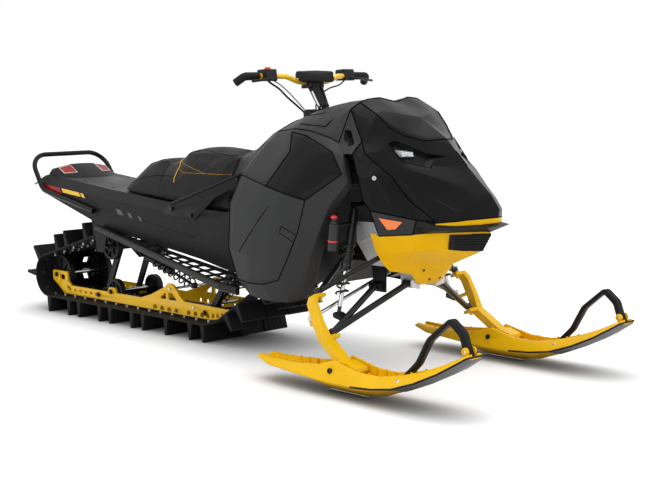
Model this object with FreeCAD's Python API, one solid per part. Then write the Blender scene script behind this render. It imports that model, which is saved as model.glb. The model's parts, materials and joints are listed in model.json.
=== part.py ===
"""Long-track mountain snowmobile, built as an assembly of separate pieces.

Millimetres. +X points to the nose, +Y to the rider's left, +Z up. The origin is on the ground, at the
middle of the machine's length and width. The left-hand piece is drawn and the right-hand one mirrored.
"""
import FreeCAD
import Part
import math
import os

from FreeCAD import Vector

# Track and its wheels
track_width = 406.0
track_rows = 44
belt_thickness = 7.0
lug_height = 76.0
belt_inner_z = lug_height + belt_thickness
lug_base = 30.0
lug_tip = 13.0
lug_gap = 8.0
edge_lug_width = 138.0
window_y = 95.0
window_width = 36.0
window_length = 34.0
rear_wheel_radius = 101.0
rear_wheel_x = -1449.0
nose_radius = 300.0
nose_x = -250.0
sprocket_radius = 95.0
sprocket_x = 116.0
sprocket_z = 375.0
idler_radius = 65.0
idler_x = -965.0
idler_z = 365.0
rail_wheel_radius = 60.0
wheel_width = 26.0
wheel_gap = 1.0

# Tunnel, the folded sheet channel over the track
track_side_gap = 6.0
tunnel_sheet = 3.0
tunnel_chamfer = 40.0
tunnel_rear_x = -1455.0
tunnel_front_x = 340.0
anchor_x = -1080.0
anchor_length = 240.0
anchor_width = 260.0
anchor_radius = 9.0
grab_bar_radius = 12.0

# Slide rails
rail_y = 136.0
rail_thickness = 12.0
front_arm_top = (-60.0, 400.0)
front_arm_low = (-262.0, belt_inner_z + 39.0)
front_arm_bar = (-128.0, 320.0)
rear_arm_low = (-1085.0, belt_inner_z + 35.0)
rear_arm_crank = (-900.0, 320.0)
# Columns: x, height above the belt, half width or corner radius
window_places = [(-639, 24, 15), (-585, 23, 15), (-531, 22, 15), (-478, 22, 15), (-386, 24, 14), (-338, 24, 13),
                 (-292, 24, 12), (-250, 26, 11), (-214, 29, 10), (-181, 33, 9), (-150, 39, 8), (-122, 47, 7)]
rail_cutouts = [[(-606, 67, 5), (-552, 67, 5), (-552, 103, 5)],
                [(-534, 67, 5), (-468, 67, 5), (-504, 101, 5), (-534, 101, 5)],
                [(-1428, 79, 6), (-1384, 77, 6), (-1384, 103, 6), (-1428, 105, 6)],
                [(-1384, 55, 5), (-1352, 25, 5), (-1330, 25, 5), (-1338, 45, 5)]]
shoe_height = 10.0
rail_wheel_y = 113.0

# Front end
ski_stance = 914.0
kingpin_y = 400.0
kingpin_x = 808.0
kingpin_z = 206.0
kingpin_length = 166.0
caster = 27.0
steering_arm = 60.0
steering_arm_out = 20.0
tie_rod_height = 80.0
tie_rod_inner_x = 760.0
tie_rod_inner_z = 400.0
tie_rod_radius = 7.5
arm_tube_radius = 12.5
eye_radius = 15.0
eye_height = 20.0
bolt_radius = 6.0
bolt_clearance = 0.3

# Skis
ski_pivot_x = 930.0
ski_pivot_z = 94.0
runner_radius = 5.0

# Handlebar
post_x = 306.0
post_z = 1137.0
post_tilt = 30.0
bar_radius = 11.0
post_radius = 15.0
bar_half_width = 370.0
grip_radius = 16.5

# Shared small sizes
panel_wall = 4.0
panel_gap = 0.8
seat_gap = 0.3

# The drawing's zero is moved by this much, so that the origin is at the middle of the length
origin_shift = 41.5
tunnel_half = track_width / 2 + track_side_gap + tunnel_sheet


# ---------------------------------------------------------------- shaping helpers

def mirrored(shape):
    return shape.mirror(Vector(0, 0, 0), Vector(0, 1, 0))


def both_sides(shape):
    return [shape, mirrored(shape)]


def rounded_wire(points, radii, closed):
    """A wire of straight runs joined by tangent arcs, one radius for each corner."""
    count = len(points)
    corners = []
    for i, point in enumerate(points):
        radius = radii[i]
        if radius <= 0 or (not closed and i in (0, count - 1)):
            corners.append((point, None, point))
            continue
        back = (points[i - 1] - point).normalize()
        ahead = (points[(i + 1) % count] - point).normalize()
        half = back.getAngle(ahead) / 2
        reach = radius / math.tan(half)
        start = point + back * reach
        end = point + ahead * reach
        centre = point + (back + ahead).normalize() * (radius / math.sin(half))
        middle = centre + (point - centre).normalize() * radius
        corners.append((start, middle, end))
    edges = []
    for i, (start, middle, end) in enumerate(corners):
        if middle is not None:
            edges.append(Part.Arc(start, middle, end).toShape())
        if i == count - 1 and not closed:
            break
        following = corners[(i + 1) % count][0]
        if (following - end).Length > 1e-6:
            edges.append(Part.LineSegment(end, following).toShape())
    return Part.Wire(edges)


def plate(points, start, depth):
    """An outline of (u, v) or (u, v, corner radius), extruded from start along depth.

    start is a point and depth a vector along X, Y or Z; u and v are the two other axes in order.
    """
    def place(u, v):
        if abs(depth.x) > 0:
            return Vector(start, u, v)
        if abs(depth.y) > 0:
            return Vector(u, start, v)
        return Vector(u, v, start)
    corners = [place(p[0], p[1]) for p in points]
    radii = [p[2] if len(p) > 2 else 0 for p in points]
    return Part.Face(rounded_wire(corners, radii, True)).extrude(depth)


def plate_y(points, y_low, y_high):
    return plate(points, y_low, Vector(0, y_high - y_low, 0))


def plate_x(points, x_low, x_high):
    return plate(points, x_low, Vector(x_high - x_low, 0, 0))


def plate_z(points, z_low, z_high):
    return plate(points, z_low, Vector(0, 0, z_high - z_low))


def rod(start, end, radius):
    return Part.makeCylinder(radius, (end - start).Length, start, end - start)


def pipe(points, radius, bend):
    """A round bar along straight runs joined by arcs of one bend radius, or one radius for each point."""
    bends = bend if isinstance(bend, list) else [bend] * len(points)
    path = rounded_wire(points, bends, False)
    profile = Part.Wire(Part.makeCircle(radius, points[0], points[1] - points[0]))
    return path.makePipeShell([profile], True, True)


def disc(x, z, radius, y_low, y_high):
    return Part.makeCylinder(radius, y_high - y_low, Vector(x, y_low, z), Vector(0, 1, 0))


def polygon(points):
    return Part.makePolygon(points + [points[0]])


def loft(sections):
    """A solid through sections of equally many points, with flat faces throughout."""
    faces = [sections[0], sections[-1]]
    count = len(sections[0])
    for low, high in zip(sections, sections[1:]):
        for i in range(count):
            a, b = low[i], low[(i + 1) % count]
            c, d = high[(i + 1) % count], high[i]
            if abs((b - a).cross(c - a).normalize().dot(d - a)) < 1e-6:
                faces.append([a, b, c, d])
            elif (a - c).Length < (b - d).Length:
                faces += [[a, b, c], [a, c, d]]
            else:
                faces += [[a, b, d], [b, c, d]]
    return faceted(faces)


def faceted(faces):
    shell = Part.makeShell([Part.Face(polygon(face)) for face in faces])
    solid = Part.makeSolid(shell)
    if solid.Volume < 0:
        solid.reverse()
    return solid


def skin(rows, wall, inside, cells=None, trim=True):
    """A moulded wall: a net of points on its outer face, thickened towards the inside point.

    cells names the (row, column) squares that are kept, all of them by default. The edges draw back by half
    the panel gap, so that panels drawn to one seam line stay apart, and are mitred along the seam.
    """
    everything = {(i, j): [(i, j), (i, j + 1), (i + 1, j + 1), (i + 1, j)]
                  for i in range(len(rows) - 1) for j in range(len(rows[0]) - 1)}
    squares = {key: ring for key, ring in everything.items() if cells is None or key in cells}
    sides = {}
    for ring in squares.values():
        for k in range(4):
            sides[(ring[k], ring[(k + 1) % 4])] = ring
    rim = [(a, b) for a, b in sides if (b, a) not in sides]
    outer = {key: rows[key[0]][key[1]] for ring in squares.values() for key in ring}
    normals = {key: Vector(0, 0, 0) for key in outer}
    for ring in everything.values():
        normal = square_normal([rows[i][j] for i, j in ring], inside)
        for key in ring:
            if key in normals:
                normals[key] = normals[key] + normal
    for key, point in outer.items():
        normals[key] = seam_normal(point) or normals[key].normalize()
    if trim:
        outer = drawn_back(outer, rim, sides)
    inner = {key: point + normals[key] * wall for key, point in outer.items()}
    faces = []
    for ring in squares.values():
        a, b, c, d = [outer[key] for key in ring]
        short = (b - d).Length < (a - c).Length
        for net in (outer, inner):
            a, b, c, d = [net[key] for key in ring]
            faces += [[a, b, d], [b, c, d]] if short else [[a, b, c], [a, c, d]]
    for a, b in rim:
        faces += [[outer[a], outer[b], inner[b]], [outer[a], inner[b], inner[a]]]
    return faceted(faces)


def drawn_back(points, rim, sides):
    """Moves each rim point into its panel, away from both of the rim edges that meet there."""
    pulls = {}
    for a, b in rim:
        ring = sides[(a, b)]
        centre = sum((points[key] for key in ring), Vector(0, 0, 0)) * 0.25
        along = (points[b] - points[a]).normalize()
        inward = centre - points[a]
        inward = (inward - along * inward.dot(along)).normalize()
        for key in (a, b):
            pulls.setdefault(key, []).append(inward)
    moved = dict(points)
    for key, pull in pulls.items():
        total = sum(pull, Vector(0, 0, 0))
        moved[key] = points[key] + total * (panel_gap * len(pull) / (2 * max(total.Length ** 2, 0.5)))
    return moved


def square_normal(corners, inside):
    a, b, c, d = corners
    normal = (c - a).cross(d - b).normalize()
    return normal * -1 if normal.dot(inside - a) < 0 else normal


seam_normals = {}


def seam_key(point):
    return (round(point.x), round(abs(point.y)), round(point.z))


def note_seams(table, inside):
    """Adds a net's inward normals to the shared ones. Tables run from the middle to the left side."""
    rows = grid(table)
    for i in range(len(rows) - 1):
        for j in range(len(rows[0]) - 1):
            corners = [rows[i][j], rows[i][j + 1], rows[i + 1][j + 1], rows[i + 1][j]]
            normal = square_normal(corners, inside)
            for point in corners:
                key = seam_key(point)
                seam_normals[key] = seam_normals.get(key, Vector(0, 0, 0)) + normal


def seam_normal(point):
    normal = seam_normals.get(seam_key(point))
    if normal is None:
        return None
    if abs(point.y) < 1e-6:
        return Vector(normal.x, 0, normal.z).normalize()
    return Vector(normal.x, math.copysign(1, point.y) * normal.y, normal.z).normalize()


def grid(table):
    return [[Vector(*point) for point in row] for row in table]


def mirrored_rows(rows):
    return [[Vector(p.x, -p.y, p.z) for p in reversed(row[1:])] + row for row in rows]


def across(table):
    """Rows of points from the middle to the left side, completed with their mirror image."""
    return mirrored_rows(grid(table))


def fused(shapes):
    result = shapes[0].fuse(shapes[1:]) if len(shapes) > 1 else shapes[0]
    result = result.removeSplitter()
    return result.Solids[0] if len(result.Solids) == 1 else result


# ---------------------------------------------------------------- track

def loop_elements():
    """The belt's inner line: tangent runs and arcs round the four wheels, front to back over the top."""
    rear_z = belt_inner_z + rear_wheel_radius
    nose_z = belt_inner_z + nose_radius
    wheels = [(rear_wheel_x, rear_z, rear_wheel_radius), (nose_x, nose_z, nose_radius),
              (sprocket_x, sprocket_z, sprocket_radius), (idler_x, idler_z, idler_radius)]
    normals = []
    for k, (x1, z1, r1) in enumerate(wheels):
        x2, z2, r2 = wheels[(k + 1) % 4]
        span = math.hypot(x2 - x1, z2 - z1)
        lean = math.asin((r1 - r2) / span)
        normals.append(math.atan2(z2 - z1, x2 - x1) - math.pi / 2 + lean)
    elements = []
    for k, (x, z, r) in enumerate(wheels):
        first = normals[k - 1]
        last = normals[k]
        while last < first:
            last += 2 * math.pi
        elements.append(("arc", x, z, r, first, last))
        x2, z2, r2 = wheels[(k + 1) % 4]
        start = (x + r * math.cos(last), z + r * math.sin(last))
        end = (x2 + r2 * math.cos(last), z2 + r2 * math.sin(last))
        elements.append(("run", start, end, last))
    return elements


def element_length(element, height):
    if element[0] == "arc":
        return (element[3] + height) * (element[5] - element[4])
    return math.dist(element[1], element[2])


belt_loop = loop_elements()
pitch_height = belt_thickness / 2
loop_length = sum(element_length(e, pitch_height) for e in belt_loop)
row_pitch = loop_length / track_rows


def loop_point(distance, height):
    """The point at a distance along the pitch line and a height above the belt's inner face."""
    distance = distance % loop_length
    for element in belt_loop:
        length = element_length(element, pitch_height)
        if distance <= length:
            break
        distance -= length
    share = distance / length
    if element[0] == "arc":
        angle = element[4] + share * (element[5] - element[4])
        reach = element[3] + height
        return (element[1] + reach * math.cos(angle), element[2] + reach * math.sin(angle)), angle
    (x1, z1), (x2, z2), angle = element[1:]
    x = x1 + share * (x2 - x1) + height * math.cos(angle)
    z = z1 + share * (z2 - z1) + height * math.sin(angle)
    return (x, z), angle


def loop_edges(start, end, height, y):
    """Lines and arcs along the belt between two distances, at a height above its inner face."""
    edges = []
    position = 0.0
    for lap in (0, loop_length):
        position = lap
        for element in belt_loop:
            length = element_length(element, pitch_height)
            low = max(start, position)
            high = min(end, position + length)
            if high - low > 1e-6:
                if element[0] == "arc":
                    turn = element[5] - element[4]
                    a = element[4] + turn * (low - position) / length
                    b = element[4] + turn * (high - position) / length
                    reach = element[3] + height
                    p, q, r = [Vector(element[1] + reach * math.cos(t), y, element[2] + reach * math.sin(t))
                               for t in (a, (a + b) / 2, b)]
                    edges.append(Part.Arc(p, q, r).toShape())
                else:
                    (x1, z1), (x2, z2), angle = element[1:]
                    ends = []
                    for s in (low, high):
                        share = (s - position) / length
                        ends.append(Vector(x1 + share * (x2 - x1) + height * math.cos(angle), y,
                                           z1 + share * (z2 - z1) + height * math.sin(angle)))
                    edges.append(Part.LineSegment(ends[0], ends[1]).toShape())
            position += length
    return edges


def loop_strip(y_low, y_high, rows):
    """One lengthwise strip of the track: the belt with a lug at each of the given rows."""
    edges = []
    cuts = [(row + 0.5) * row_pitch for row in rows]
    if not cuts:
        edges = loop_edges(0, loop_length, belt_thickness, y_low)
    for k, middle in enumerate(cuts):
        foot = loop_point(middle - lug_base / 2, belt_thickness)[0]
        heel = loop_point(middle + lug_base / 2, belt_thickness)[0]
        (x, z), angle = loop_point(middle, belt_thickness + lug_height)
        side = Vector(math.sin(angle), 0, -math.cos(angle)) * (lug_tip / 2)
        tip = Vector(x, y_low, z)
        corners = [Vector(foot[0], y_low, foot[1]), tip + side, tip - side, Vector(heel[0], y_low, heel[1])]
        for p, q in zip(corners, corners[1:]):
            edges.append(Part.LineSegment(p, q).toShape())
        following = cuts[k + 1] if k + 1 < len(cuts) else cuts[0] + loop_length
        edges += loop_edges(middle + lug_base / 2, following - lug_base / 2, belt_thickness, y_low)
    outer = Part.Wire(Part.__sortEdges__(edges))
    inner = Part.Wire(Part.__sortEdges__(loop_edges(0, loop_length, 0, y_low)))
    face = Part.Face([outer, inner])
    face.validate()
    return face.extrude(Vector(0, y_high - y_low, 0))


def belt_windows():
    """Cutters for the two lines of openings between the rows, which the drivers reach into."""
    cutters = []
    for row in range(track_rows):
        (x, z), angle = loop_point(row * row_pitch, -6)
        out = Vector(math.cos(angle), 0, math.sin(angle))
        along = Vector(-out.z, 0, out.x) * (window_length / 2)
        for middle in (-window_y, window_y):
            centre = Vector(x, middle, z)
            side = Vector(0, window_width / 2, 0)
            ring = [centre - along - side, centre + along - side, centre + along + side, centre - along + side]
            cutters.append(Part.Face(polygon(ring)).extrude(out * (belt_thickness + 12)))
    return Part.makeCompound(cutters)


def make_track():
    """Belt and paddles. The lug pattern repeats every eleven rows, mirrored from side to side."""
    repeat = 11
    edge_rows = {0, 1, 3, 5, 6, 8, 9}
    middle_rows = {1, 2, 4, 6, 7, 9, 10}
    right = [row for row in range(track_rows) if row % repeat in edge_rows]
    left = [row for row in range(track_rows) if (repeat - 1 - row % repeat) in edge_rows]
    middle = [row for row in range(track_rows) if row % repeat in middle_rows]
    half = track_width / 2
    inner_edge = half - edge_lug_width
    strips = [loop_strip(-half, -inner_edge, right), loop_strip(inner_edge, half, left),
              loop_strip(-inner_edge, -inner_edge + lug_gap, []),
              loop_strip(inner_edge - lug_gap, inner_edge, []),
              loop_strip(-inner_edge + lug_gap, inner_edge - lug_gap, middle)]
    return [fused(strips).cut(belt_windows())]


# ---------------------------------------------------------------- rear suspension

def make_slide_rails():
    """Two pierced rails that press the belt down, curved up at the front to follow the belt."""
    low = belt_inner_z + shoe_height
    nose_z = belt_inner_z + nose_radius
    reach = nose_radius - shoe_height
    tip_angle = math.asin((-92.0 - nose_x) / reach)
    middle_angle = tip_angle / 2
    start = Vector(nose_x, 0, low)
    middle = Vector(nose_x + reach * math.sin(middle_angle), 0, nose_z - reach * math.cos(middle_angle))
    tip = Vector(nose_x + reach * math.sin(tip_angle), 0, nose_z - reach * math.cos(tip_angle))
    top = [(-104, 69), (-213, 69), (-418, 71), (-442, 87), (-496, 139), (-512, 145), (-538, 144), (-562, 125),
           (-664, 81), (-752, 55), (-946, 55), (-958, 79), (-1002, 79), (-1014, 55), (-1330, 53),
           (-1358, 73), (-1364, 121), (-1484, 121), (-1492, 113), (-1490, 73), (-1444, 48)]
    upper = [Vector(x, 0, belt_inner_z + z) for x, z in top]
    edges = [Part.Arc(start, middle, tip).toShape(), Part.LineSegment(tip, upper[0]).toShape()]
    edges += [Part.LineSegment(p, q).toShape() for p, q in zip(upper, upper[1:])]
    foot = Vector(-1391, 0, low)
    edges += [Part.LineSegment(upper[-1], foot).toShape(), Part.LineSegment(foot, start).toShape()]
    rail = Part.Face(Part.Wire(edges)).extrude(Vector(0, rail_thickness, 0))
    rail.translate(Vector(0, rail_y - rail_thickness / 2, 0))
    outer = rail_y + rail_thickness
    holes = [disc(x, z, radius + bolt_clearance, 0, outer) for x, z, radius in rail_shafts()]
    holes += [disc(x, belt_inner_z + 32, 9, 0, outer) for x in (-1296, -1250, -1204, -1158, -1112)]
    for x, height, half in window_places:
        z = belt_inner_z + height
        window = [(x - half, z - 10, 4), (x + half, z - 10, 4), (x + half * 0.7, z + 11, 4), (x - half * 0.7, z + 11, 4)]
        holes.append(plate_y(window, 0, outer))
    holes += [plate_y([(x, belt_inner_z + z, r) for x, z, r in cutout], 0, outer) for cutout in rail_cutouts]
    return both_sides(rail.cut(Part.makeCompound(holes)))


def make_slide_shoes():
    """Low-friction strips under the rails, which the belt's inner face runs on."""
    low = belt_inner_z + seat_gap
    high = belt_inner_z + shoe_height - seat_gap
    nose_z = belt_inner_z + nose_radius
    turn = math.asin((-104.0 - nose_x) / nose_radius)
    ends = []
    for height in (low, high):
        reach = nose_z - height
        ends.append([Vector(nose_x + reach * math.sin(t), 0, nose_z - reach * math.cos(t)) for t in (0, turn / 2, turn)])
    rear = [Vector(-1392, 0, low), Vector(-1386, 0, high)]
    edges = [Part.LineSegment(rear[0], ends[0][0]).toShape(), Part.Arc(*ends[0]).toShape(),
             Part.LineSegment(ends[0][2], ends[1][2]).toShape(), Part.Arc(*ends[1][::-1]).toShape(),
             Part.LineSegment(ends[1][0], rear[1]).toShape(), Part.LineSegment(rear[1], rear[0]).toShape()]
    width = rail_thickness + 4
    shoe = Part.Face(Part.Wire(edges)).extrude(Vector(0, width, 0))
    shoe.translate(Vector(0, rail_y - width / 2, 0))
    return both_sides(shoe)


def rail_shafts():
    """The cross shafts that both rails carry. Columns: x, z, radius."""
    rear_z = belt_inner_z + rear_wheel_radius
    small_z = belt_inner_z + rail_wheel_radius
    return [(rear_wheel_x, rear_z, 12), (-980, small_z, 8), (-347, belt_inner_z + 54, 6),
            (-520, belt_inner_z + 121, 6)]


def wheel(x, z, radius, y, bore):
    """A moulded wheel: a rim and a hub joined by a thin web."""
    half = wheel_width / 2
    rim = radius - 13
    hub = bore + 11
    web = 4
    profile = [(bore, -half), (hub, -half), (hub, -web), (rim, -web), (rim, -half), (radius, -half),
               (radius, half), (rim, half), (rim, web), (hub, web), (hub, half), (bore, half)]
    face = Part.Face(polygon([Vector(x + r, y + w, z) for r, w in profile]))
    return face.revolve(Vector(x, y, z), Vector(0, 1, 0), 360)


def make_track_wheels():
    """Rear wheels, the small wheels between the rails and the upper idlers."""
    rear_z = belt_inner_z + rear_wheel_radius
    small_z = belt_inner_z + rail_wheel_radius
    wheels = [wheel(rear_wheel_x, rear_z, rear_wheel_radius - wheel_gap, y, 12 + bolt_clearance)
              for y in (-rail_wheel_y, rail_wheel_y)]
    wheels += [wheel(-980, small_z, rail_wheel_radius - wheel_gap, y, 8 + bolt_clearance)
               for y in (-rail_wheel_y, rail_wheel_y)]
    wheels += [wheel(idler_x, idler_z, idler_radius - wheel_gap, y, 12 + bolt_clearance) for y in (-140, 140)]
    return wheels


def make_track_shafts():
    half = rail_y + rail_thickness
    shafts = [disc(x, z, radius, -half, half) for x, z, radius in rail_shafts()]
    reach = tunnel_half - tunnel_sheet - seat_gap
    shafts.append(disc(idler_x, idler_z, 12, -reach, reach))
    return shafts


def make_drive_axle():
    """The drive shaft with two toothed drivers."""
    reach = tunnel_half - tunnel_sheet - seat_gap
    shaft = disc(sprocket_x, sprocket_z, 17, -reach, reach)
    tooth_count = 8
    root = sprocket_radius - 16
    crest = sprocket_radius - wheel_gap
    step = math.pi / tooth_count
    ring = []
    for k in range(tooth_count):
        for turn, radius in ((-0.6, root), (-0.3, crest), (0.3, crest), (0.6, root)):
            angle = 2 * step * k + turn * step
            ring.append((sprocket_x + radius * math.cos(angle), sprocket_z + radius * math.sin(angle)))
    drivers = [plate_y(ring, y - 16, y + 16) for y in (-95, 95)]
    return [fused([shaft] + drivers)]


def link_plate(start, end, start_half, end_half):
    """Outline of a flat link between two pivots, with rounded ends."""
    length = math.dist(start, end)
    ux, uz = (end[0] - start[0]) / length, (end[1] - start[1]) / length
    corners = []
    for (x, z), half, sign in ((start, start_half, -1), (end, end_half, 1)):
        ends = [(x + sign * ux * half - s * uz * half, z + sign * uz * half + s * ux * half, half * 0.9)
                for s in (-sign, sign)]
        corners += ends
    return corners


def make_front_arm():
    """Swing arm from the tunnel down to the rails, with a cross bar for the centre shock."""
    reach = tunnel_half - tunnel_sheet - seat_gap
    inside = rail_y - rail_thickness / 2 - seat_gap
    side = 110.0
    arm = link_plate(front_arm_top, front_arm_low, 16, 13)
    pieces = [disc(front_arm_top[0], front_arm_top[1], 12, -reach, reach),
              disc(front_arm_low[0], front_arm_low[1], 12, -inside, inside),
              disc(front_arm_bar[0], front_arm_bar[1], 8, -side, side)]
    pieces += [plate_y(arm, y - 7, y + 7) for y in (-side, side)]
    return [fused(pieces)]


def make_rear_arm():
    """Swing arm from the idler shaft down to the rails, with a crank for its shock."""
    inside = rail_y - rail_thickness / 2 - seat_gap
    side = 92.0
    idler = (idler_x, idler_z)
    pieces = [disc(rear_arm_low[0], rear_arm_low[1], 12, -inside, inside)]
    pieces += [plate_y(link_plate(idler, rear_arm_low, 19, 14), y - 7, y + 7) for y in (-side, side)]
    pieces += [plate_y(link_plate(idler, rear_arm_crank, 19, 12), y - 5, y + 5) for y in (-26, 26)]
    pieces.append(disc(idler_x, idler_z, 19, -side, side))
    pieces.append(disc(rear_arm_crank[0], rear_arm_crank[1], 6, -31, 31))
    return [fused(pieces).cut(disc(idler_x, idler_z, 12 + bolt_clearance, -side - 20, side + 20))]


def shock(top, low, body_radius, shaft_radius, body_share, eye, top_pin=0.0, low_pin=0.0):
    """A damper: a body below the top eye and a thin shaft to the lower one, with bores for its pins."""
    line = low - top
    split = top + line * body_share
    shoulder = top + line.normalize() * (eye + 6)
    width = 24.0
    side = Vector(0, 1, 0)
    pieces = [rod(top, split, shaft_radius), rod(shoulder, split, body_radius), rod(split, low, shaft_radius)]
    pieces += [Part.makeCylinder(eye, width, end - side * (width / 2), side) for end in (top, low)]
    body = fused(pieces)
    for end, pin in ((top, top_pin), (low, low_pin)):
        if pin > 0:
            reach = body_radius + 10
            body = body.cut(Part.makeCylinder(pin + bolt_clearance, 2 * reach, end - side * reach, side))
    return body


def make_track_shocks():
    low_pins = rail_shafts()[2:]
    centre = shock(Vector(front_arm_bar[0], 0, front_arm_bar[1]), Vector(low_pins[0][0], 0, low_pins[0][1]),
                   20, 7, 0.6, 14, 8, low_pins[0][2])
    rear = shock(Vector(rear_arm_crank[0], 0, rear_arm_crank[1]), Vector(low_pins[1][0], 0, low_pins[1][1]),
                 20, 7, 0.55, 14, 6, low_pins[1][2])
    return [centre, rear]


# ---------------------------------------------------------------- tunnel and rear end

def walled_section(x, points, wall):
    """A folded sheet in cross-section: half an open outline of (y, z), mirrored, with a wall."""
    outer = [(-y, z) for y, z in points] + [(y, z) for y, z in reversed(points)]
    inner = []
    last = len(outer) - 1
    for i, (y, z) in enumerate(outer):
        before = outer[max(i - 1, 0)]
        after = outer[min(i + 1, last)]
        directions = []
        for p, q in ((before, (y, z)), ((y, z), after)):
            length = math.dist(p, q)
            if length > 0:
                directions.append(((q[0] - p[0]) / length, (q[1] - p[1]) / length))
        normals = [(d[1], -d[0]) for d in directions]
        ny = sum(n[0] for n in normals) / len(normals)
        nz = sum(n[1] for n in normals) / len(normals)
        scale = wall / (ny * ny + nz * nz)
        inner.append((y + ny * scale, z + nz * scale))
    return [Vector(x, y, z) for y, z in outer + inner[::-1]]


def tunnel_top(x):
    """Height of the tunnel's roof, which falls towards the front."""
    table = [(tunnel_rear_x, 694), (-930, 646), (-412, 606), (-200, 592), (-60, 590), (20, 606),
             (tunnel_front_x, 612)]
    for (x1, z1), (x2, z2) in zip(table, table[1:]):
        if x <= x2:
            return z1 + (z2 - z1) * (x - x1) / (x2 - x1)
    return table[-1][1]


def make_tunnel():
    """Folded sheet channel: roof, chamfers and side walls, with hangers for the idler shaft."""
    stations = [(tunnel_rear_x, 610, 40), (-930, 466, 40), (-412, 402, 38), (-200, 376, 32), (-60, 350, 30),
                (20, 340, 30), (tunnel_front_x, 310, 30)]
    sections = []
    for x, wall_foot, chamfer in stations:
        top = tunnel_top(x)
        half = [(tunnel_half, wall_foot), (tunnel_half, top - chamfer), (tunnel_half - chamfer, top)]
        sections.append(walled_section(x, half, tunnel_sheet))
    pieces = [loft(sections)]
    hanger = [(-1010, 500), (-995, 344, 15), (-935, 344, 15), (-900, 480)]
    for y in (-tunnel_half, tunnel_half - tunnel_sheet):
        pieces.append(plate_y(hanger, y, y + tunnel_sheet))
    anchors = [Part.makeCylinder(anchor_radius, 60, Vector(anchor_x + u * anchor_length / 2,
                                                           v * anchor_width / 2, 620))
               for u in (-1, 1) for v in (-1, 1)]
    return [fused(pieces).cut(Part.makeCompound(anchors))]


def make_running_boards():
    """Boards beside the tunnel: a deep outer beam and a sheet with two rows of slots."""
    inner_y = tunnel_half + seat_gap
    stations = [(262, 400, 303), (150, 400, 312), (-700, tunnel_half + 58, 425), (-957, tunnel_half + 26, 462)]
    beam = [[Vector(x, y - 11, z - 15), Vector(x, y + 5, z - 15), Vector(x, y + 11, z - 9), Vector(x, y + 11, z + 9),
             Vector(x, y + 5, z + 15), Vector(x, y - 11, z + 15)] for x, y, z in stations]
    sheet = [[Vector(x, inner_y, z - 3), Vector(x, y - 8, z - 3), Vector(x, y - 8, z + 1), Vector(x, inner_y, z + 1)]
             for x, y, z in [(218, 400, 306.5)] + stations[1:]]
    slots = []
    for k in range(13):
        x = 180 - 78 * k
        for (x1, y1, z1), (x2, y2, z2) in zip(stations, stations[1:]):
            if x2 <= x <= x1:
                width = y1 + (y2 - y1) * (x - x1) / (x2 - x1) - 12 - inner_y
        if width > 90:
            rows = [(0.14, 0.44), (0.56, 0.86)]
        else:
            rows = [(0.2, 0.8)]
        for low, high in rows:
            slots.append(plate_z([(x - 27, inner_y + width * low, 6), (x + 27, inner_y + width * low, 6),
                                  (x + 27, inner_y + width * high, 6), (x - 27, inner_y + width * high, 6)], 280, 480))
    sheet_solid = loft(sheet).cut(Part.makeCompound(slots))
    slope = (stations[2][2] - stations[1][2]) / (stations[2][0] - stations[1][0])
    ends = [(x, stations[1][2] + slope * (x - stations[1][0])) for x in (216, -940)]
    ledge = [(x, z + dz) for (x, z), dz in ((ends[1], -4), (ends[0], -4), (ends[0], 9), (ends[1], 9))]
    return both_sides(fused([loft(beam), sheet_solid, plate_y(ledge, inner_y, inner_y + 5)]))


def make_tunnel_braces():
    """Plates from the tunnel's shoulders up to the body, flanged along the top."""
    outline = [(-455, 560, 6), (-462, 572, 6), (-400, 612, 8), (68, 762), (150, 792), (150, 748), (48, 708),
               (-96, 652, 30), (-236, 548, 8)]
    plate_solid = plate_y(outline, tunnel_half + seat_gap, tunnel_half + seat_gap + 5)
    flange = plate_y([(-398, 604), (-402, 612), (68, 762), (150, 792), (150, 784), (68, 754)],
                     tunnel_half + seat_gap, tunnel_half + 18)
    heads = [disc(x, z, 10, tunnel_half + 3, tunnel_half + 10) for x, z in ((-391, 587), (-256, 566))]
    return both_sides(fused([plate_solid, flange] + heads))


def make_rear_bumper():
    """The grab loop round the tail, fixed along the tunnel's sides."""
    y = tunnel_half + 14
    side = [Vector(-994, y, 540), Vector(-1428, y, 621), Vector(-1548, y - 8, 789)]
    path = side + [Vector(p.x, -p.y, p.z) for p in reversed(side)]
    pieces = [pipe(path, grab_bar_radius, [0, 90, 95, 95, 90, 0])]
    for x, z in ((-1010, 543), (-1370, 610)):
        foot = disc(x, z, 9, tunnel_half + seat_gap, y)
        pieces += both_sides(foot)
    return [fused(pieces)]


def make_snow_flap():
    """Short stiff flap that carries the tunnel's roof on past its rear edge."""
    hang = tunnel_rear_x - seat_gap
    edge = tunnel_half - 16
    rows = [[(hang, 0, 690), (hang, edge - 24, 690), (hang, edge, 668)],
            [(hang - 22, 0, 690), (hang - 22, edge - 24, 690), (hang - 22, edge, 668)],
            [(hang - 55, 0, 677), (hang - 55, edge - 22, 677), (hang - 55, edge + 1, 655)],
            [(hang - 96, 0, 657), (hang - 98, edge - 24, 655), (hang - 104, edge - 2, 642)]]
    return [skin(across(rows), 6, Vector(-1460, 0, 400), trim=False)]


def make_tail_lamp():
    """Low lamp housing across the tail of the tunnel. Columns: half width, front, rear and top."""
    stations = [(172, -1350, -1462, 6), (150, -1340, -1466, 34), (64, -1296, -1466, 52), (0, -1290, -1466, 54)]
    sections = []
    for y, front, rear, rise in [(-y, f, r, h) for y, f, r, h in stations] + stations[-2::-1]:
        base = [(x, tunnel_top(x) + seat_gap) for x in (rear + 14, front)]
        ridge = rear + 46
        sections.append([Vector(base[0][0], y, base[0][1]), Vector(base[1][0], y, base[1][1]),
                         Vector(ridge, y, tunnel_top(ridge) + rise), Vector(rear + 10, y, tunnel_top(rear + 10) + rise * 0.8)])
    return [loft(sections)]


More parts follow.
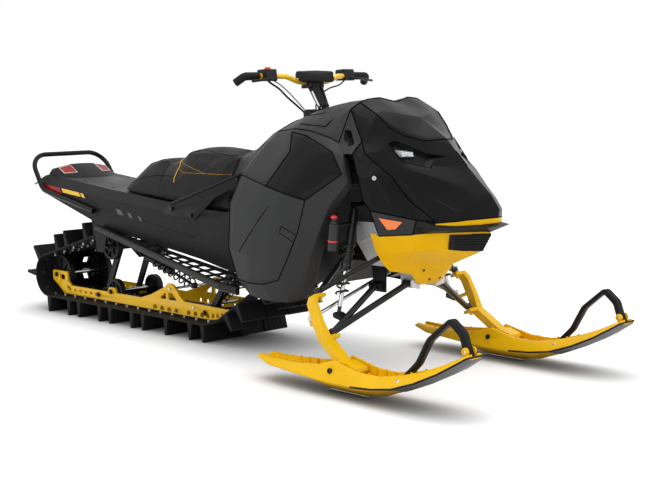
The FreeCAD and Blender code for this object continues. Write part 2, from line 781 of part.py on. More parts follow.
def make_tail_lens():
    """Lenses on the housing's rear face and one on each half of its sloping top."""
    rear = [(-1452.9, 699), (-1456.1, 733), (-1461, 733), (-1457.8, 699)]
    front_in, ridge_in = Vector(-1296, 64, 680), Vector(-1420, 64, 743)
    front_out, ridge_out = Vector(-1340, 150, 684), Vector(-1420, 150, 724.6)
    rows = [[(front_in * (1 - s) + ridge_in * s) * (1 - t) + (front_out * (1 - s) + ridge_out * s) * t
             + Vector(0, 0, 3.9) for t in (0.14, 0.86)] for s in (0.34, 0.9)]
    return both_sides(plate_y(rear, 22, 58)) + both_sides(skin(rows, 3, Vector(-1380, 100, 500), trim=False))


# ---------------------------------------------------------------- seat and tank

def make_seat():
    """Narrow bench: a low hump at the rear, a raised bolster and flared skirts.

    Columns: x, top height and half width, crease height and half width, base half width.
    """
    stations = [(-858, 664, 62, 655, 112, 136), (-800, 736, 76, 688, 138, 160), (-724, 782, 82, 714, 146, 163),
                (-640, 803, 84, 727, 149, 165), (-590, 803, 84, 731, 150, 166), (-566, 786, 90, 732, 150, 166),
                (-486, 806, 98, 735, 150, 167), (-412, 850, 98, 737, 152, 168), (-300, 857, 98, 740, 154, 168),
                (-123, 849, 100, 744, 157, 168), (-60, 838, 102, 746, 160, 168)]
    sections = []
    for x, top, half_top, crease, half_crease, half_base in stations:
        base = tunnel_top(x) + seat_gap
        lip = min(12, (crease - base) * 0.4)
        half = [(0, base), (half_base - 5, base), (half_base, base + lip), (half_crease, crease),
                (half_top + 14, top - min(14, (top - crease) * 0.5)), (half_top, top - 2), (0, top)]
        right = [(-y, z) for y, z in reversed(half[1:-1])]
        sections.append([Vector(x, y, z) for y, z in half + right])
    return [loft(sections)]


def make_fuel_tank():
    """The tank under the rider's knees. Columns: x, top, shoulder half width and height, side half width."""
    stations = [(-60 + seat_gap, 838, 102, 812, 160), (20, 862, 112, 828, 178), (125, 930, 118, 895, 205),
                (250, 982, 122, 945, 232), (296, 984, 130, 945, 236)]
    sections = []
    for x, top, shoulder, shoulder_z, side in stations:
        base = tunnel_top(x) + seat_gap
        half = [(0, base), (side * 0.8, base), (side, base + 90), (side - 4, (base + shoulder_z) / 2 + 20),
                (shoulder, shoulder_z), (shoulder * 0.6, top), (0, top)]
        right = [(-y, z) for y, z in reversed(half[1:-1])]
        sections.append([Vector(x, y, z) for y, z in half + right])
    return [loft(sections)]


def lamp_recess_x(y, z):
    """The slanted plane of the hood's face round a headlamp."""
    return 903 - 0.76 * (y - 198) - 0.859 * (z - 919)


recess_outline = [(194, 912), (172, 921), (99, 872), (46, 862), (88, 848), (114, 820), (184, 838)]


def shrunk(outline, margin):
    """The outline drawn in by a margin along each corner's bisector. Negative margins grow it."""
    result = []
    count = len(outline)
    turn = sum(outline[i][0] * outline[(i + 1) % count][1] - outline[(i + 1) % count][0] * outline[i][1]
               for i in range(count))
    sign = 1 if turn > 0 else -1
    for i in range(count):
        (x0, z0), (x1, z1), (x2, z2) = outline[i - 1], outline[i], outline[(i + 1) % count]
        a = Vector(x1 - x0, z1 - z0, 0).normalize()
        b = Vector(x2 - x1, z2 - z1, 0).normalize()
        normal_a = Vector(-a.y, a.x, 0) * sign
        normal_b = Vector(-b.y, b.x, 0) * sign
        middle = normal_a + normal_b
        step = middle * (2 * margin / max(middle.Length ** 2, 1.0))
        result.append((x1 + step.x, z1 + step.y))
    return result


def recess_ring(margin, setback):
    return [Vector(lamp_recess_x(y, z) - setback, y, z) for y, z in shrunk(recess_outline, margin)]


# ---------------------------------------------------------------- body panels

post_axis = Vector(-math.sin(math.radians(post_tilt)), 0, math.cos(math.radians(post_tilt)))
post_top = Vector(post_x, 0, post_z)


def make_console():
    """Centre cover with the opening that the steering post comes through."""
    cover = skin(across(console_rows), panel_wall, Vector(500, 0, 700))
    opening = Part.makeCylinder(52, 300, post_top - post_axis * 220, post_axis)
    return [cover.cut(opening)]


def make_gauge():
    """Instrument pod at the rear edge of the console."""
    return [plate_y([(302, 986), (300, 1020, 5), (316, 1034, 5), (348.4, 1010), (348.4, 990)], -60, 60)]


def make_hood():
    rows = across(hood_rows)
    last = len(rows[0]) - 1
    cells = {(i, j) for i in range(len(rows) - 1) for j in range(last)} - {(len(rows) - 2, 0), (len(rows) - 2, last - 1)}
    shell = skin(rows, panel_wall, Vector(900, 0, 600), cells)
    openings = []
    outline = shrunk(recess_outline, -0.5)
    for side in (-1, 1):
        openings.append(plate_x([(side * y, z) for y, z in outline], 860, 1120))
    return [shell.cut(Part.makeCompound(openings))]


def make_lamp_bezels():
    """Sunk trays round the headlamps, open to the front."""
    wall = 3.0
    front, back = recess_ring(wall, 2), recess_ring(9, 26)
    outer_front, outer_back = recess_ring(0, 2), recess_ring(6, 26 + wall)
    count = len(front)
    faces = [back, outer_back]
    for i in range(count):
        j = (i + 1) % count
        for p, q in ((front, back), (outer_front, outer_back), (front, outer_front)):
            faces += [[p[i], p[j], q[j]], [p[i], q[j], q[i]]]
    return both_sides(faceted(faces))


def make_windshield():
    return [skin(across(windshield_rows), 3, Vector(800, 0, 700))]


def make_headlamps():
    """Lenses that stand on the floors of the sunk trays."""
    outline = [(176, 888), (130, 882), (134, 860), (172, 860)]
    low = [Vector(lamp_recess_x(y, z) - 26 + seat_gap, y, z) for y, z in outline]
    high = [Vector(lamp_recess_x(y, z) - 8, y, z) for y, z in shrunk(outline, 4)]
    return both_sides(loft([low, high]))


def make_vent_panels():
    """Shoulder panels between the console, the hood and the side panels, each with a sunk air outlet."""
    rows = grid([[(732, 216, 1040), (735, 285, 915), (788, 312, 872)],
                 [(825, 250, 920), (819, 277, 893), (822, 300, 872)]])
    outlet = [(743, 962), (766, 957), (797, 910), (780, 904), (752, 930)]
    inside = Vector(700, 0, 850)
    depth = 30.0
    block = plate_y(shrunk(outlet, -3), 150, 400).common(skin(rows, depth + 3, inside))
    room = plate_y(outlet, 150, 400).common(skin(rows, depth, inside))
    return both_sides(fused([skin(rows, panel_wall, inside), block]).cut(room))


access_cells = {(1, 2), (1, 3), (2, 2), (2, 3)}
lower_door_cells = {(3, 1), (3, 2), (3, 3), (4, 1), (4, 2), (4, 3), (5, 1), (5, 2), (5, 3)}
side_inside = Vector(450, 0, 600)


side_rows = [
    [(290, 205, 935), (345, 245, 948), (475, 270, 962), (575, 285, 957), (680, 290, 935), (735, 285, 915), (745, 262, 905)],
    [(245, 235, 890), (320, 275, 905), (470, 283, 951), (569, 300, 940), (744, 332, 883), (788, 312, 872), (784, 284, 858)],
    [(200, 250, 840), (285, 310, 850), (517, 338, 878), (640, 352, 848), (816, 350, 801), (830, 334, 768), (814, 292, 752)],
    [(150, 256, 770), (235, 348, 775), (436, 396, 741), (560, 410, 718), (671, 405, 698), (776, 378, 682), (748, 302, 670)],
    [(130, 256, 660), (205, 385, 660), (380, 420, 620), (520, 430, 600), (642, 418, 573), (734, 388, 590), (702, 302, 590)],
    [(140, 256, 480), (225, 412, 480), (360, 432, 460), (480, 433, 450), (575, 420, 450), (672, 386, 460), (652, 302, 460)],
    [(175, 262, 370), (270, 405, 355), (355, 420, 350), (440, 420, 352), (521, 412, 376), (630, 370, 372), (626, 302, 380)],
    [(230, 270, 300), (310, 375, 292), (380, 390, 286), (460, 388, 282), (540, 372, 284), (600, 345, 300), (600, 302, 312)]]
console_rows = [
    [(350, 0, 1003), (348, 85, 1000), (347, 112.5, 995), (346, 140, 990), (346, 175, 975), (345, 210, 962), (345, 245, 948)],
    [(470, 0, 1030), (468, 95, 1030), (467, 117.5, 1029), (466, 140, 1028), (468, 185, 1012), (472, 230, 988), (475, 270, 962)],
    [(570, 0, 1048), (568, 95, 1052), (568, 120, 1052), (568, 145, 1052), (570, 195, 1030), (572, 243, 995), (575, 285, 957)],
    [(670, 0, 1058), (668, 90, 1068), (666.5, 119, 1068), (665, 148, 1068), (668, 192, 1045), (675, 240, 1000), (680, 290, 935)],
    [(772, 0, 1066), (758, 80, 1083), (754, 113, 1081), (750, 146, 1077), (745, 178, 1066), (732, 216, 1040), (735, 285, 915)]]
windshield_rows = [
    [(772, 0, 1066), (758, 80, 1083), (754, 113, 1081), (750, 146, 1077), (745, 178, 1066)],
    [(905, 0, 1006), (884, 70, 1018), (856, 112, 1026), (826, 150, 1036), (790.5, 178.2, 1044.3)],
    [(1034, 0, 926), (990, 84, 921), (936, 134, 941), (890, 166, 972), (834, 180, 1022)]]
hood_rows = [
    [(1034, 0, 926), (990, 84, 921), (936, 134, 941), (890, 166, 972), (834, 180, 1022), (745, 178, 1066)],
    [(1078, 0, 882), (1066, 40, 868), (1004, 96, 893), (910, 176, 934), (838, 205, 985), (732, 216, 1040)],
    [(1135, 0, 826), (1101, 45, 822), (1049, 108, 830), (979, 186, 840), (905, 225, 885), (825, 250, 920)],
    [(1200, 0, 766), (1180, 66, 748), (1118, 108, 776), (1040, 165, 806), (974, 205, 829), (858, 270, 876)],
    [(1248, 0, 726), (1226, 62, 706), (1150, 140, 690), (1088, 172, 723), (1020, 212, 765), (966, 236, 790)],
    [(1290, 0, 672), (1262, 52, 668), (1225, 95, 664), (1201, 122, 661), (1133, 178, 628), (1030, 205, 702)],
    [(1284, 0, 642), (1258, 54, 639), (1221, 98, 635), (1192, 127, 630), (1132, 177, 623), (1040, 206, 690)]]
cheek_rows = [
    [(825, 250, 920), (858, 270, 876), (912, 253, 833), (966, 236, 790)],
    [(822, 300, 872), (866, 294, 836), (920, 281, 804), (998, 220.5, 746)],
    [(848, 304, 800), (880, 303, 782), (956, 268, 748), (1030, 205, 702)],
    [(876, 298, 702), (925, 288, 680), (992, 258, 684), (1050.6, 199.6, 687.2)],
    [(905, 292, 664), (1000, 240, 645), (1060, 203, 632), (1133, 178, 628)]]
pod_rows = [
    [(905, 292, 664), (1000, 240, 645), (1060, 203, 632)],
    [(932, 272, 568), (985, 240, 572), (1044, 205, 576)]]
strip_rows = [
    [(1284, 0, 642), (1258, 54, 639), (1221, 98, 635), (1192, 127, 630), (1132, 177, 623)],
    [(1276, 0, 621), (1254, 58, 618), (1217, 100, 615), (1181, 133, 613), (1131, 177, 617)]]
nose_rows = [
    [(1276, 0, 621), (1254, 58, 618), (1217, 100, 615), (1181, 133, 613), (1131, 177, 617), (1060, 203, 632)],
    [(1289, 0, 613), (1279, 60, 608), (1258, 105, 607), (1216, 140, 601), (1140, 187, 597), (1052.6, 203.9, 606)],
    [(1250, 0, 585), (1196, 60, 585), (1146, 114, 583), (1110, 150, 582), (1080, 176, 580), (1044, 205, 576)]]
belly_rows = [
    [(1250, 0, 585), (1196, 60, 585), (1146, 114, 583), (1110, 150, 582), (1080, 176, 580), (1044, 205, 576), (932, 272, 568), (880, 266, 575)],
    [(1200, 0, 506), (1152, 52, 508), (1122, 96, 515), (1093, 130, 516), (1066, 156, 514), (1033, 186, 510), (925, 238, 500), (886, 244, 506)],
    [(1068, 0, 450), (1032, 40, 450), (996, 84, 451), (981, 104, 451), (968, 125, 450), (954, 150, 448), (925, 190, 444), (902, 212, 448)],
    [(950, 0, 360), (949, 30, 360), (946, 58, 362), (948, 78, 374), (950, 96, 390), (953, 116, 410), (932, 152, 418), (911, 190, 424)]]
body_nets = [(side_rows, Vector(450, 0, 600)), (console_rows, Vector(500, 0, 700)),
             (windshield_rows, Vector(800, 0, 700)), (hood_rows, Vector(900, 0, 600)),
             (cheek_rows, Vector(850, 0, 700)), (pod_rows, Vector(900, 0, 600)),
             (strip_rows, Vector(1000, 0, 610)), (nose_rows, Vector(1000, 0, 610)),
             (belly_rows, Vector(850, 0, 520))]


def make_nose_strip():
    """Coloured band between the hood's lower edge and the bumper."""
    return [skin(across(strip_rows), panel_wall, Vector(1000, 0, 610))]
for net_table, net_inside in body_nets:
    note_seams(net_table, net_inside)


def make_side_panels():
    """Side panel round the two doors, turned in at the rear and along the wheel arch."""
    rows = grid(side_rows)
    kept = {(i, j) for i in range(len(rows) - 1) for j in range(len(rows[0]) - 1)}
    return both_sides(skin(rows, panel_wall, side_inside, kept - access_cells - lower_door_cells - {(0, 5)}))


def make_access_panels():
    return both_sides(skin(grid(side_rows), panel_wall, side_inside, access_cells))


def make_lower_doors():
    return both_sides(skin(grid(side_rows), panel_wall, side_inside, lower_door_cells))


def make_cheek_panels():
    """Panels between the hood's side seam and the side panel."""
    return both_sides(skin(grid(cheek_rows), panel_wall, Vector(850, 0, 700)))


def make_reflector_pods():
    return both_sides(skin(grid(pod_rows), panel_wall, Vector(900, 0, 600)))


def make_reflectors():
    """Side reflectors, each a thin lens lying on its pod. Places are shares along and down the pod."""
    top, low = grid([row[::2] for row in pod_rows])
    places = [[(0.16, 0.24), (0.7, 0.26)], [(0.3, 0.72), (0.52, 0.68)]]
    rows = []
    for line in places:
        row = []
        for along, down in line:
            point = (top[0] * (1 - along) + top[1] * along) * (1 - down) + (low[0] * (1 - along) + low[1] * along) * down
            row.append(point + Vector(3.1, 5.0, 0))
        rows.append(row)
    return both_sides(skin(rows, 3, Vector(900, 0, 600), trim=False))


def make_belly_pan():
    return [skin(across(belly_rows), panel_wall, Vector(850, 0, 520))]


def make_grille():
    """Air inlet cover lying on the belly pan's first row. Places are shares down the pan."""
    top, low = grid([row[:3] for row in belly_rows[:2]])
    off = [Vector(7.2, 0, -2), Vector(3.7, 3.4, -2.4), Vector(3.7, 3.4, -2.4)]
    rows = [[p * (1 - down) + q * down + away for p, q, away in zip(top, low, off)] for down in (0.1, 0.93)]
    return [skin(mirrored_rows(rows), 5, Vector(850, 0, 540), trim=False)]


def make_front_bumper():
    """Moulded lip across the nose, between the hood and the belly pan."""
    return [skin(across(nose_rows), panel_wall, Vector(1000, 0, 610))]


# ---------------------------------------------------------------- chassis front

def make_bulkhead():
    """Cast front frame: two side cheeks, a rear web, a roof that carries the nose and ears for the lower arms."""
    side = 141.2
    cheek = [[(850, side, 612), (965, side, 600)], [(850, side, 470), (950, side - 4, 480)],
             [(850, 64, 398), (938, 58, 402)], [(850, 60, 344), (938, 52, 344)]]
    pieces = both_sides(skin(grid(cheek), 8, Vector(900, 0, 500), trim=False))
    web = [(-side, 612), (side, 612), (side, 470), (64, 398), (60, 344), (-60, 344), (-64, 398), (-side, 470)]
    pieces.append(plate_x(web, 850, 858))
    pieces.append(plate_z([(850, -side), (960, -side), (1190, -60), (1190, 60), (960, side), (850, side)], 598, 608))
    for x in (lower_arm_front.x - 20 - 8 - seat_gap, lower_arm_front.x + 20 + seat_gap):
        out, height = lower_arm_front.y + 8, lower_arm_front.z
        ear = [(48, height - 22), (out, height - 16, 10), (out, height + 16, 10), (48, height + 22)]
        pieces += both_sides(plate_x(ear, x, x + 8))
    shelf = plate_z([(crank_pin_top.x - 22, -24, 8), (852, -40), (852, 40), (crank_pin_top.x - 22, 24, 8)],
                    crank_pin_top.z - 6, crank_pin_top.z + 6)
    pin = rod(crank_centre - king_axis * 30, crank_pin_top, 8)
    tongue = plate_z([(1180, -30), (1266, -14), (1266, 14), (1180, 30)], 598, 608)
    lip = skin(across(nose_rows), panel_wall + seat_gap, Vector(1000, 0, 610))
    tongue = max(tongue.cut(lip).Solids, key=lambda solid: solid.Volume)
    return [fused(pieces + [shelf, pin, tongue])]


def make_engine():
    return [plate_y([(380, 345), (600, 345), (627.6, 446), (627.6, 716), (400, 716)], -185, 185)]


king_axis = Vector(-math.sin(math.radians(caster)), 0, math.cos(math.radians(caster)))
king_forward = Vector(math.cos(math.radians(caster)), 0, math.sin(math.radians(caster)))
lower_ball = Vector(kingpin_x, kingpin_y, kingpin_z)
upper_ball = lower_ball + king_axis * kingpin_length
arm_ball = (lower_ball - king_forward * steering_arm + Vector(0, steering_arm_out, 0)
            + king_axis * tie_rod_height)
inner_ball = Vector(tie_rod_inner_x, steering_arm_out, tie_rod_inner_z)
crank_centre = inner_ball + king_forward * steering_arm - Vector(0, steering_arm_out, 0)
crank_pin_top = crank_centre + king_axis * 50
lower_arm_front = Vector(912, 88, 368)
lower_arm_rear = Vector(815, 172, 356)
upper_arm_front = Vector(872, 172, 486)
upper_arm_rear = Vector(660, 172, 470)


def eye(centre):
    """A rod end: a short ring round the kingpin's direction."""
    ring = Part.makeCylinder(eye_radius, eye_height, centre - king_axis * (eye_height / 2), king_axis)
    return ring


def eye_bore(centre):
    return Part.makeCylinder(bolt_radius + bolt_clearance, 3 * eye_height,
                             centre - king_axis * (1.5 * eye_height), king_axis)


shock_low = Vector(773, 330, 260)
shock_top = Vector(730, 190, 669)


def make_lower_arms():
    """Lower A-arms: two tubes to the ball joint, sleeves on the frame and a fork for the shock."""
    outer = lower_ball - Vector(0, 10, 0)
    pieces = [rod(lower_arm_front, outer, arm_tube_radius), rod(lower_arm_rear, outer, arm_tube_radius),
              eye(lower_ball)]
    for end in (lower_arm_front, lower_arm_rear):
        pieces.append(Part.makeCylinder(14, 40, end - Vector(20, 0, 0), Vector(1, 0, 0)))
    share = (lower_arm_rear.y - shock_low.y) / (lower_arm_rear.y - outer.y)
    root = lower_arm_rear + (outer - lower_arm_rear) * share
    fork = plate_y([(shock_low.x - 12, shock_low.z - 10, 6), (root.x, root.z - 8, 4), (root.x, root.z + 8, 4),
                    (shock_low.x + 6, shock_low.z + 9, 5), (shock_low.x - 12, shock_low.z + 9, 5)],
                   shock_low.y - 20, shock_low.y + 20)
    room = 12 + seat_gap
    slot = Part.makeBox(60, 2 * room, 80, Vector(shock_low.x - 42, shock_low.y - room, shock_low.z - 40))
    pin = disc(shock_low.x, shock_low.z, 5, shock_low.y - 16, shock_low.y + 16)
    pieces += [fork.cut(slot), pin]
    return both_sides(fused(pieces).cut(eye_bore(lower_ball)))


def make_upper_arms():
    outer = upper_ball - Vector(0, 10, 0)
    pieces = [rod(upper_arm_front, outer, 10), rod(upper_arm_rear, outer, 10), eye(upper_ball)]
    for end in (upper_arm_front, upper_arm_rear):
        pieces.append(Part.makeCylinder(14, 40, end - Vector(20, 0, 0), Vector(1, 0, 0)))
    return both_sides(fused(pieces).cut(eye_bore(upper_ball)))


def make_arm_mounts():
    """Side plates of the front frame, with ears for the upper arms and the lower arms' rear sleeves."""
    y = lower_arm_rear.y - 14 - 8 - seat_gap
    outline = [(788, 332, 8), (849.5, 332), (849.5, 440), (900, 460, 8), (900, 512, 8), (628, 500), (628, 446),
               (776, 446, 10)]
    pieces = [plate_y(outline, y - 8, y)]
    for pivot in (lower_arm_rear, upper_arm_front, upper_arm_rear):
        for x in (pivot.x - 20 - 6 - seat_gap, pivot.x + 20 + seat_gap):
            ear = [(y - 4, pivot.z - 14), (pivot.y + 8, pivot.z - 14, 8), (pivot.y + 8, pivot.z + 14, 8),
                   (y - 4, pivot.z + 14)]
            pieces.append(plate_x(ear, x, x + 6))
    return both_sides(fused(pieces))


def make_upper_frame():
    """Tube frame from the tunnel and the bulkhead up to the steering post's bearing, with the shock mounts."""
    apex = post_top - post_axis * 296
    ring = Part.makeCylinder(25, 40, apex - post_axis * 20, post_axis)
    bore = Part.makeCylinder(post_radius + bolt_clearance, 80, apex - post_axis * 40, post_axis)
    foot_lift = 0.7
    rear_foot = Vector(320, 150, tunnel_top(320) + foot_lift)
    front_foot = Vector(866, 112, 612 + foot_lift)
    pieces = [ring]
    for side in (-1, 1):
        low = Vector(rear_foot.x, side * rear_foot.y, rear_foot.z)
        high = apex + Vector(-6, side * 24, -8)
        ahead = Vector(front_foot.x, side * front_foot.y, front_foot.z)
        top = apex + Vector(10, side * 24, 0)
        pieces.append(rod(low + Vector(0, 0, 8), high, 12))
        pieces.append(Part.makeCylinder(18, 8, low, Vector(0, 0, 1)))
        pieces.append(rod(top, ahead + Vector(0, 0, 12), 12))
        pieces.append(Part.makeCylinder(16, 16, ahead, Vector(0, 0, 1)))
        share = (shock_top.x - top.x) / (ahead.x - top.x)
        knee = top + (ahead - top) * share
        pin_end = shock_top.y - 12 - seat_gap
        bend = Vector(shock_top.x, side * (pin_end - 16), shock_top.z)
        pieces.append(rod(Vector(knee.x, knee.y, knee.z), bend, 10))
        pieces.append(rod(bend - Vector(0, side * 8, 0), Vector(shock_top.x, side * pin_end, shock_top.z), 10))
    return [fused(pieces).cut(bore)]


def make_front_shocks():
    return both_sides(shock(shock_top, shock_low, 20, 8, 0.60, 12, 0, 5))


def make_front_springs():
    """Coil springs, kept as plain sleeves round the dampers."""
    line = shock_low - shock_top
    start = shock_top + line * 0.30
    length = line.Length * 0.42
    sleeve = Part.makeCylinder(26, length, start, line).cut(Part.makeCylinder(20 + seat_gap, length, start, line))
    return both_sides(sleeve)


def make_shock_reservoirs():
    """Remote reservoirs of the front dampers, each on a bridge from its damper's head."""
    low, high = Vector(752, 342, 508), Vector(768, 348, 612)
    axis = (high - low).normalize()
    line = shock_low - shock_top
    root = shock_top + line * 0.169
    arm = high - axis * 12
    away = (arm - root).normalize()
    pieces = [rod(low, high, 20), rod(high, high + axis * 10, 16), rod(high + axis * 10, high + axis * 26, 12),
              rod(root + away * 10, arm, 9)]
    room = Part.makeCylinder(20 + seat_gap, line.Length * 0.3, shock_top, line)
    return both_sides(fused(pieces).cut(room))


def make_spindles():
    """Cast knuckle: a curved web with a shelf under each ball joint, a steering arm and a ski saddle."""
    def place(forward, y, up):
        return lower_ball + king_forward * forward + king_axis * up + Vector(0, y - kingpin_y, 0)
    top = kingpin_length
    shelf = 14.0
    drop = 14.0
    outline = [(-18, -drop - shelf), (-18, -drop), (30, -drop), (38, 40), (36, top - 50), (24, top - drop - shelf),
               (-18, top - drop - shelf), (-18, top - drop), (40, top - drop), (60, top - 40), (66, 60),
               (66, -drop - shelf)]
    web = Part.Face(polygon([place(-19, kingpin_y + y, w) for y, w in outline])).extrude(king_forward * 38)
    foot = Vector(ski_pivot_x, ski_stance / 2, ski_pivot_z)
    leg = loft([[place(-19, kingpin_y + 24, -20), place(19, kingpin_y + 24, -20), place(19, kingpin_y + 66, -20),
                 place(-19, kingpin_y + 66, -20)],
                [foot + Vector(-34, -22, 20), foot + Vector(30, -22, 20), foot + Vector(30, 22, 20),
                 foot + Vector(-34, 22, 20)]])
    saddle = plate_y([(ski_pivot_x - 42, ski_pivot_z - 14, 10), (ski_pivot_x + 90, ski_pivot_z - 8, 8),
                      (ski_pivot_x + 84, ski_pivot_z + 14, 6), (ski_pivot_x + 30, ski_pivot_z + 30, 6),
                      (ski_pivot_x - 36, ski_pivot_z + 28, 8)], ski_stance / 2 - 34, ski_stance / 2 + 34)
    bolt = disc(ski_pivot_x, ski_pivot_z, 8, ski_stance / 2 - 68, ski_stance / 2 + 68)
    ear = arm_ball - king_axis * (drop + shelf)
    root = place(-19, kingpin_y + 46, tie_rod_height - drop - shelf)
    lug = Part.makeCylinder(15, shelf, ear, king_axis)
    across_arm = Vector(0, 13, 0)
    bridge = loft([[p - across_arm, p + across_arm, p + across_arm + king_axis * shelf, p - across_arm + king_axis * shelf]
                   for p in (root + king_forward * 6, ear)])
    pieces = [web, leg, saddle, bolt, lug, bridge]
    for ball in (lower_ball, upper_ball, arm_ball):
        start = ball - king_axis * (drop + shelf + 12)
        pieces.append(Part.makeCylinder(bolt_radius, drop + shelf + 26, start, king_axis))
    return both_sides(fused(pieces))


def make_tie_rods():
    line = (inner_ball - arm_ball).normalize()
    shaft = rod(arm_ball + line * 8, inner_ball - line * 8, tie_rod_radius)
    body = fused([shaft, eye(arm_ball), eye(inner_ball)])
    return both_sides(body.cut(eye_bore(arm_ball)).cut(eye_bore(inner_ball)))


def make_steering_crank():
    """Idler crank on the centre line that swings both tie rods."""
    drop = 16.0
    shelf = 10.0
    low = king_axis * -(drop + shelf)
    left = inner_ball + low
    right = Vector(inner_ball.x, -inner_ball.y, inner_ball.z) + low
    hub = crank_centre + low
    pieces = [Part.makeCylinder(20, 34, hub, king_axis)]
    spread = Vector(0, 14, 0)
    back = king_forward * -12
    base = [left + spread + back, right - spread + back, hub - Vector(0, 18, 0), hub + Vector(0, 18, 0)]
    pieces.append(Part.Face(polygon(base)).extrude(king_axis * shelf))
    for ball in (left, right):
        pieces.append(Part.makeCylinder(bolt_radius, drop + shelf + 14, ball, king_axis))
    bore = Part.makeCylinder(8 + bolt_clearance, 80, hub - king_axis * 20, king_axis)
    return [fused(pieces).cut(bore)]


# ---------------------------------------------------------------- skis

def make_skis():
    """Moulded ski: keel, flared bottom and two upright walls.

    Columns: x, keel height, edge height, top of the walls, floor height, half width at the edge and at the walls.
    """
    stations = [(500, 76, 84, 96, 86, 48, 30), (585, 60, 68, 90, 78, 72, 44), (750, 38, 62, 96, 72, 88, 56),
                (850, 14, 56, 106, 66, 92, 58), (930, 10, 53, 130, 64, 93, 58), (1050, 10, 53, 104, 66, 93, 58),
                (1150, 24, 60, 102, 74, 93, 56), (1250, 58, 76, 120, 92, 92, 54), (1350, 98, 110, 148, 122, 90, 52),
                (1450, 146, 156, 186, 166, 82, 46), (1530, 196, 204, 224, 212, 62, 34), (1550, 214, 219.5, 233, 225.3, 44, 24)]
    sections = []
    wall = 11.0
    keel_half = 14.0
    centre = ski_stance / 2
    for x, keel, edge, top, floor, half, half_top in stations:
        half_keel = min(keel_half, half / 2)
        inner = half_top - min(wall, half_top / 2)
        half_line = [(half_keel, keel), (half, edge), (half, edge + 6), (half_top, top), (inner, top), (inner, floor)]
        left = [(-y, z) for y, z in half_line[::-1]]
        sections.append([Vector(x, centre + y, z) for y, z in half_line + left])
    bolt = disc(ski_pivot_x, ski_pivot_z, 8 + bolt_clearance, centre - 120, centre + 120)
    return both_sides(loft(sections).cut(bolt))


def make_ski_loops():
    """Flat looped handle at the ski's tip."""
    outer = [(1204, 84.1), (1296, 172, 60), (1348, 262, 60), (1452, 346, 22), (1512, 300, 40), (1540, 219.1)]
    inner = [(1520, 206.7), (1494, 286, 40), (1448, 322, 14), (1361, 250, 60), (1308, 160, 60), (1236, 89.9)]
    centre = ski_stance / 2
    return both_sides(plate_y(outer + inner, centre - 17, centre + 17))


# Columns: distance before the post's top, y, height above it, bend radius
bar_path = [(-72, bar_half_width, 7, 0), (-39, bar_half_width - 20, 33, 14), (-51, 250, 34, 60), (-10, 150, 32, 40),
            (-10, 80, 9, 20)]


def bar_tube(radius):
    """The bent handlebar as one tube."""
    left = [post_top + Vector(x, y, z) for x, y, z, _ in bar_path]
    right = [Vector(p.x, -p.y, p.z) for p in reversed(left)]
    bends = [bend for _, _, _, bend in bar_path]
    return pipe(left + right, radius, bends + bends[::-1])


def bar_riser(margin=0.0):
    """The clamp block at the post's head, grown by a margin where something is cut to fit round it."""
    outline = shrunk([(-35, -19), (17, -15), (11, 23), (-29, 23)], -margin)
    return plate_y([(post_x + x, post_z + z, 5) for x, z in outline], -42 - margin, 42 + margin)


def make_ski_runners():
    """Steel wear bar under the keel, with both ends bent up into it."""
    centre = ski_stance / 2
    bar = rod(Vector(860, centre, runner_radius), Vector(1060, centre, runner_radius), runner_radius)
    return both_sides(bar)


# ---------------------------------------------------------------- handlebar

def make_handlebar():
    return [bar_tube(bar_radius)]


def make_steering_post():
    """Tilted post with the bar's clamp block on two flat legs."""
    post = Part.makeCylinder(post_radius, 340, post_top - post_axis * 328, post_axis)
    ahead = Vector(post_axis.z, 0, -post_axis.x) * 14
    pieces = [post, bar_riser(), Part.makeCylinder(24, 16, post_top - post_axis * 114, post_axis)]
    for side in (-1, 1):
        inner, outer = Vector(0, side * 17, 0), Vector(0, side * 30, 0)
        foot = post_top - post_axis * 104
        ring = [foot - ahead * 0.8 + inner * 0.8, foot + ahead * 0.8 + inner * 0.8,
                foot + ahead * 0.8 + outer * 0.75, foot - ahead * 0.8 + outer * 0.75]
        head = post_top - post_axis * 6
        rim = [head - ahead + inner, head + ahead + inner, head + ahead + outer, head - ahead + outer]
        pieces.append(loft([ring, rim]))
    return [fused(pieces).cut(bar_tube(bar_radius + 0.2))]


def make_grips():
    grip = pipe([post_top + Vector(-72, bar_half_width, 7), post_top + Vector(-39, bar_half_width - 20, 33),
                 post_top + Vector(-48.6, bar_half_width - 100, 33.8)], grip_radius, [0, 18, 0])
    return both_sides(grip.cut(bar_tube(bar_radius + 0.2)))


def make_bar_pad():
    outline = [(-23, 27, 8), (-17, 55, 10), (25, 55, 10), (31, 13, 8), (19, 3, 4)]
    pad = plate_y([(post_x + x, post_z + z, r) for x, z, r in outline], -92, 92)
    post = Part.makeCylinder(post_radius + 0.3, 345, post_top - post_axis * 330, post_axis)
    return [pad.cut(bar_tube(bar_radius + 0.2)).cut(bar_riser(0.5)).cut(post)]


def make_hand_controls():
    """Switch block with throttle lever on the right, brake block with its lever on the left."""
    block = plate_y([(post_x + x, post_z + z, r) for x, z, r in
                     ((-73, 13, 6), (-73, 59, 8), (-17, 63, 8), (-11, 13, 6))], 196, 252)
    lever = pipe([post_top + Vector(*place) for place in ((-23, 225, 27), (10, 243, 23), (3, 345, 13))], 5, 14)
    return both_sides(fused([block, lever]).cut(bar_tube(bar_radius + 0.2)))


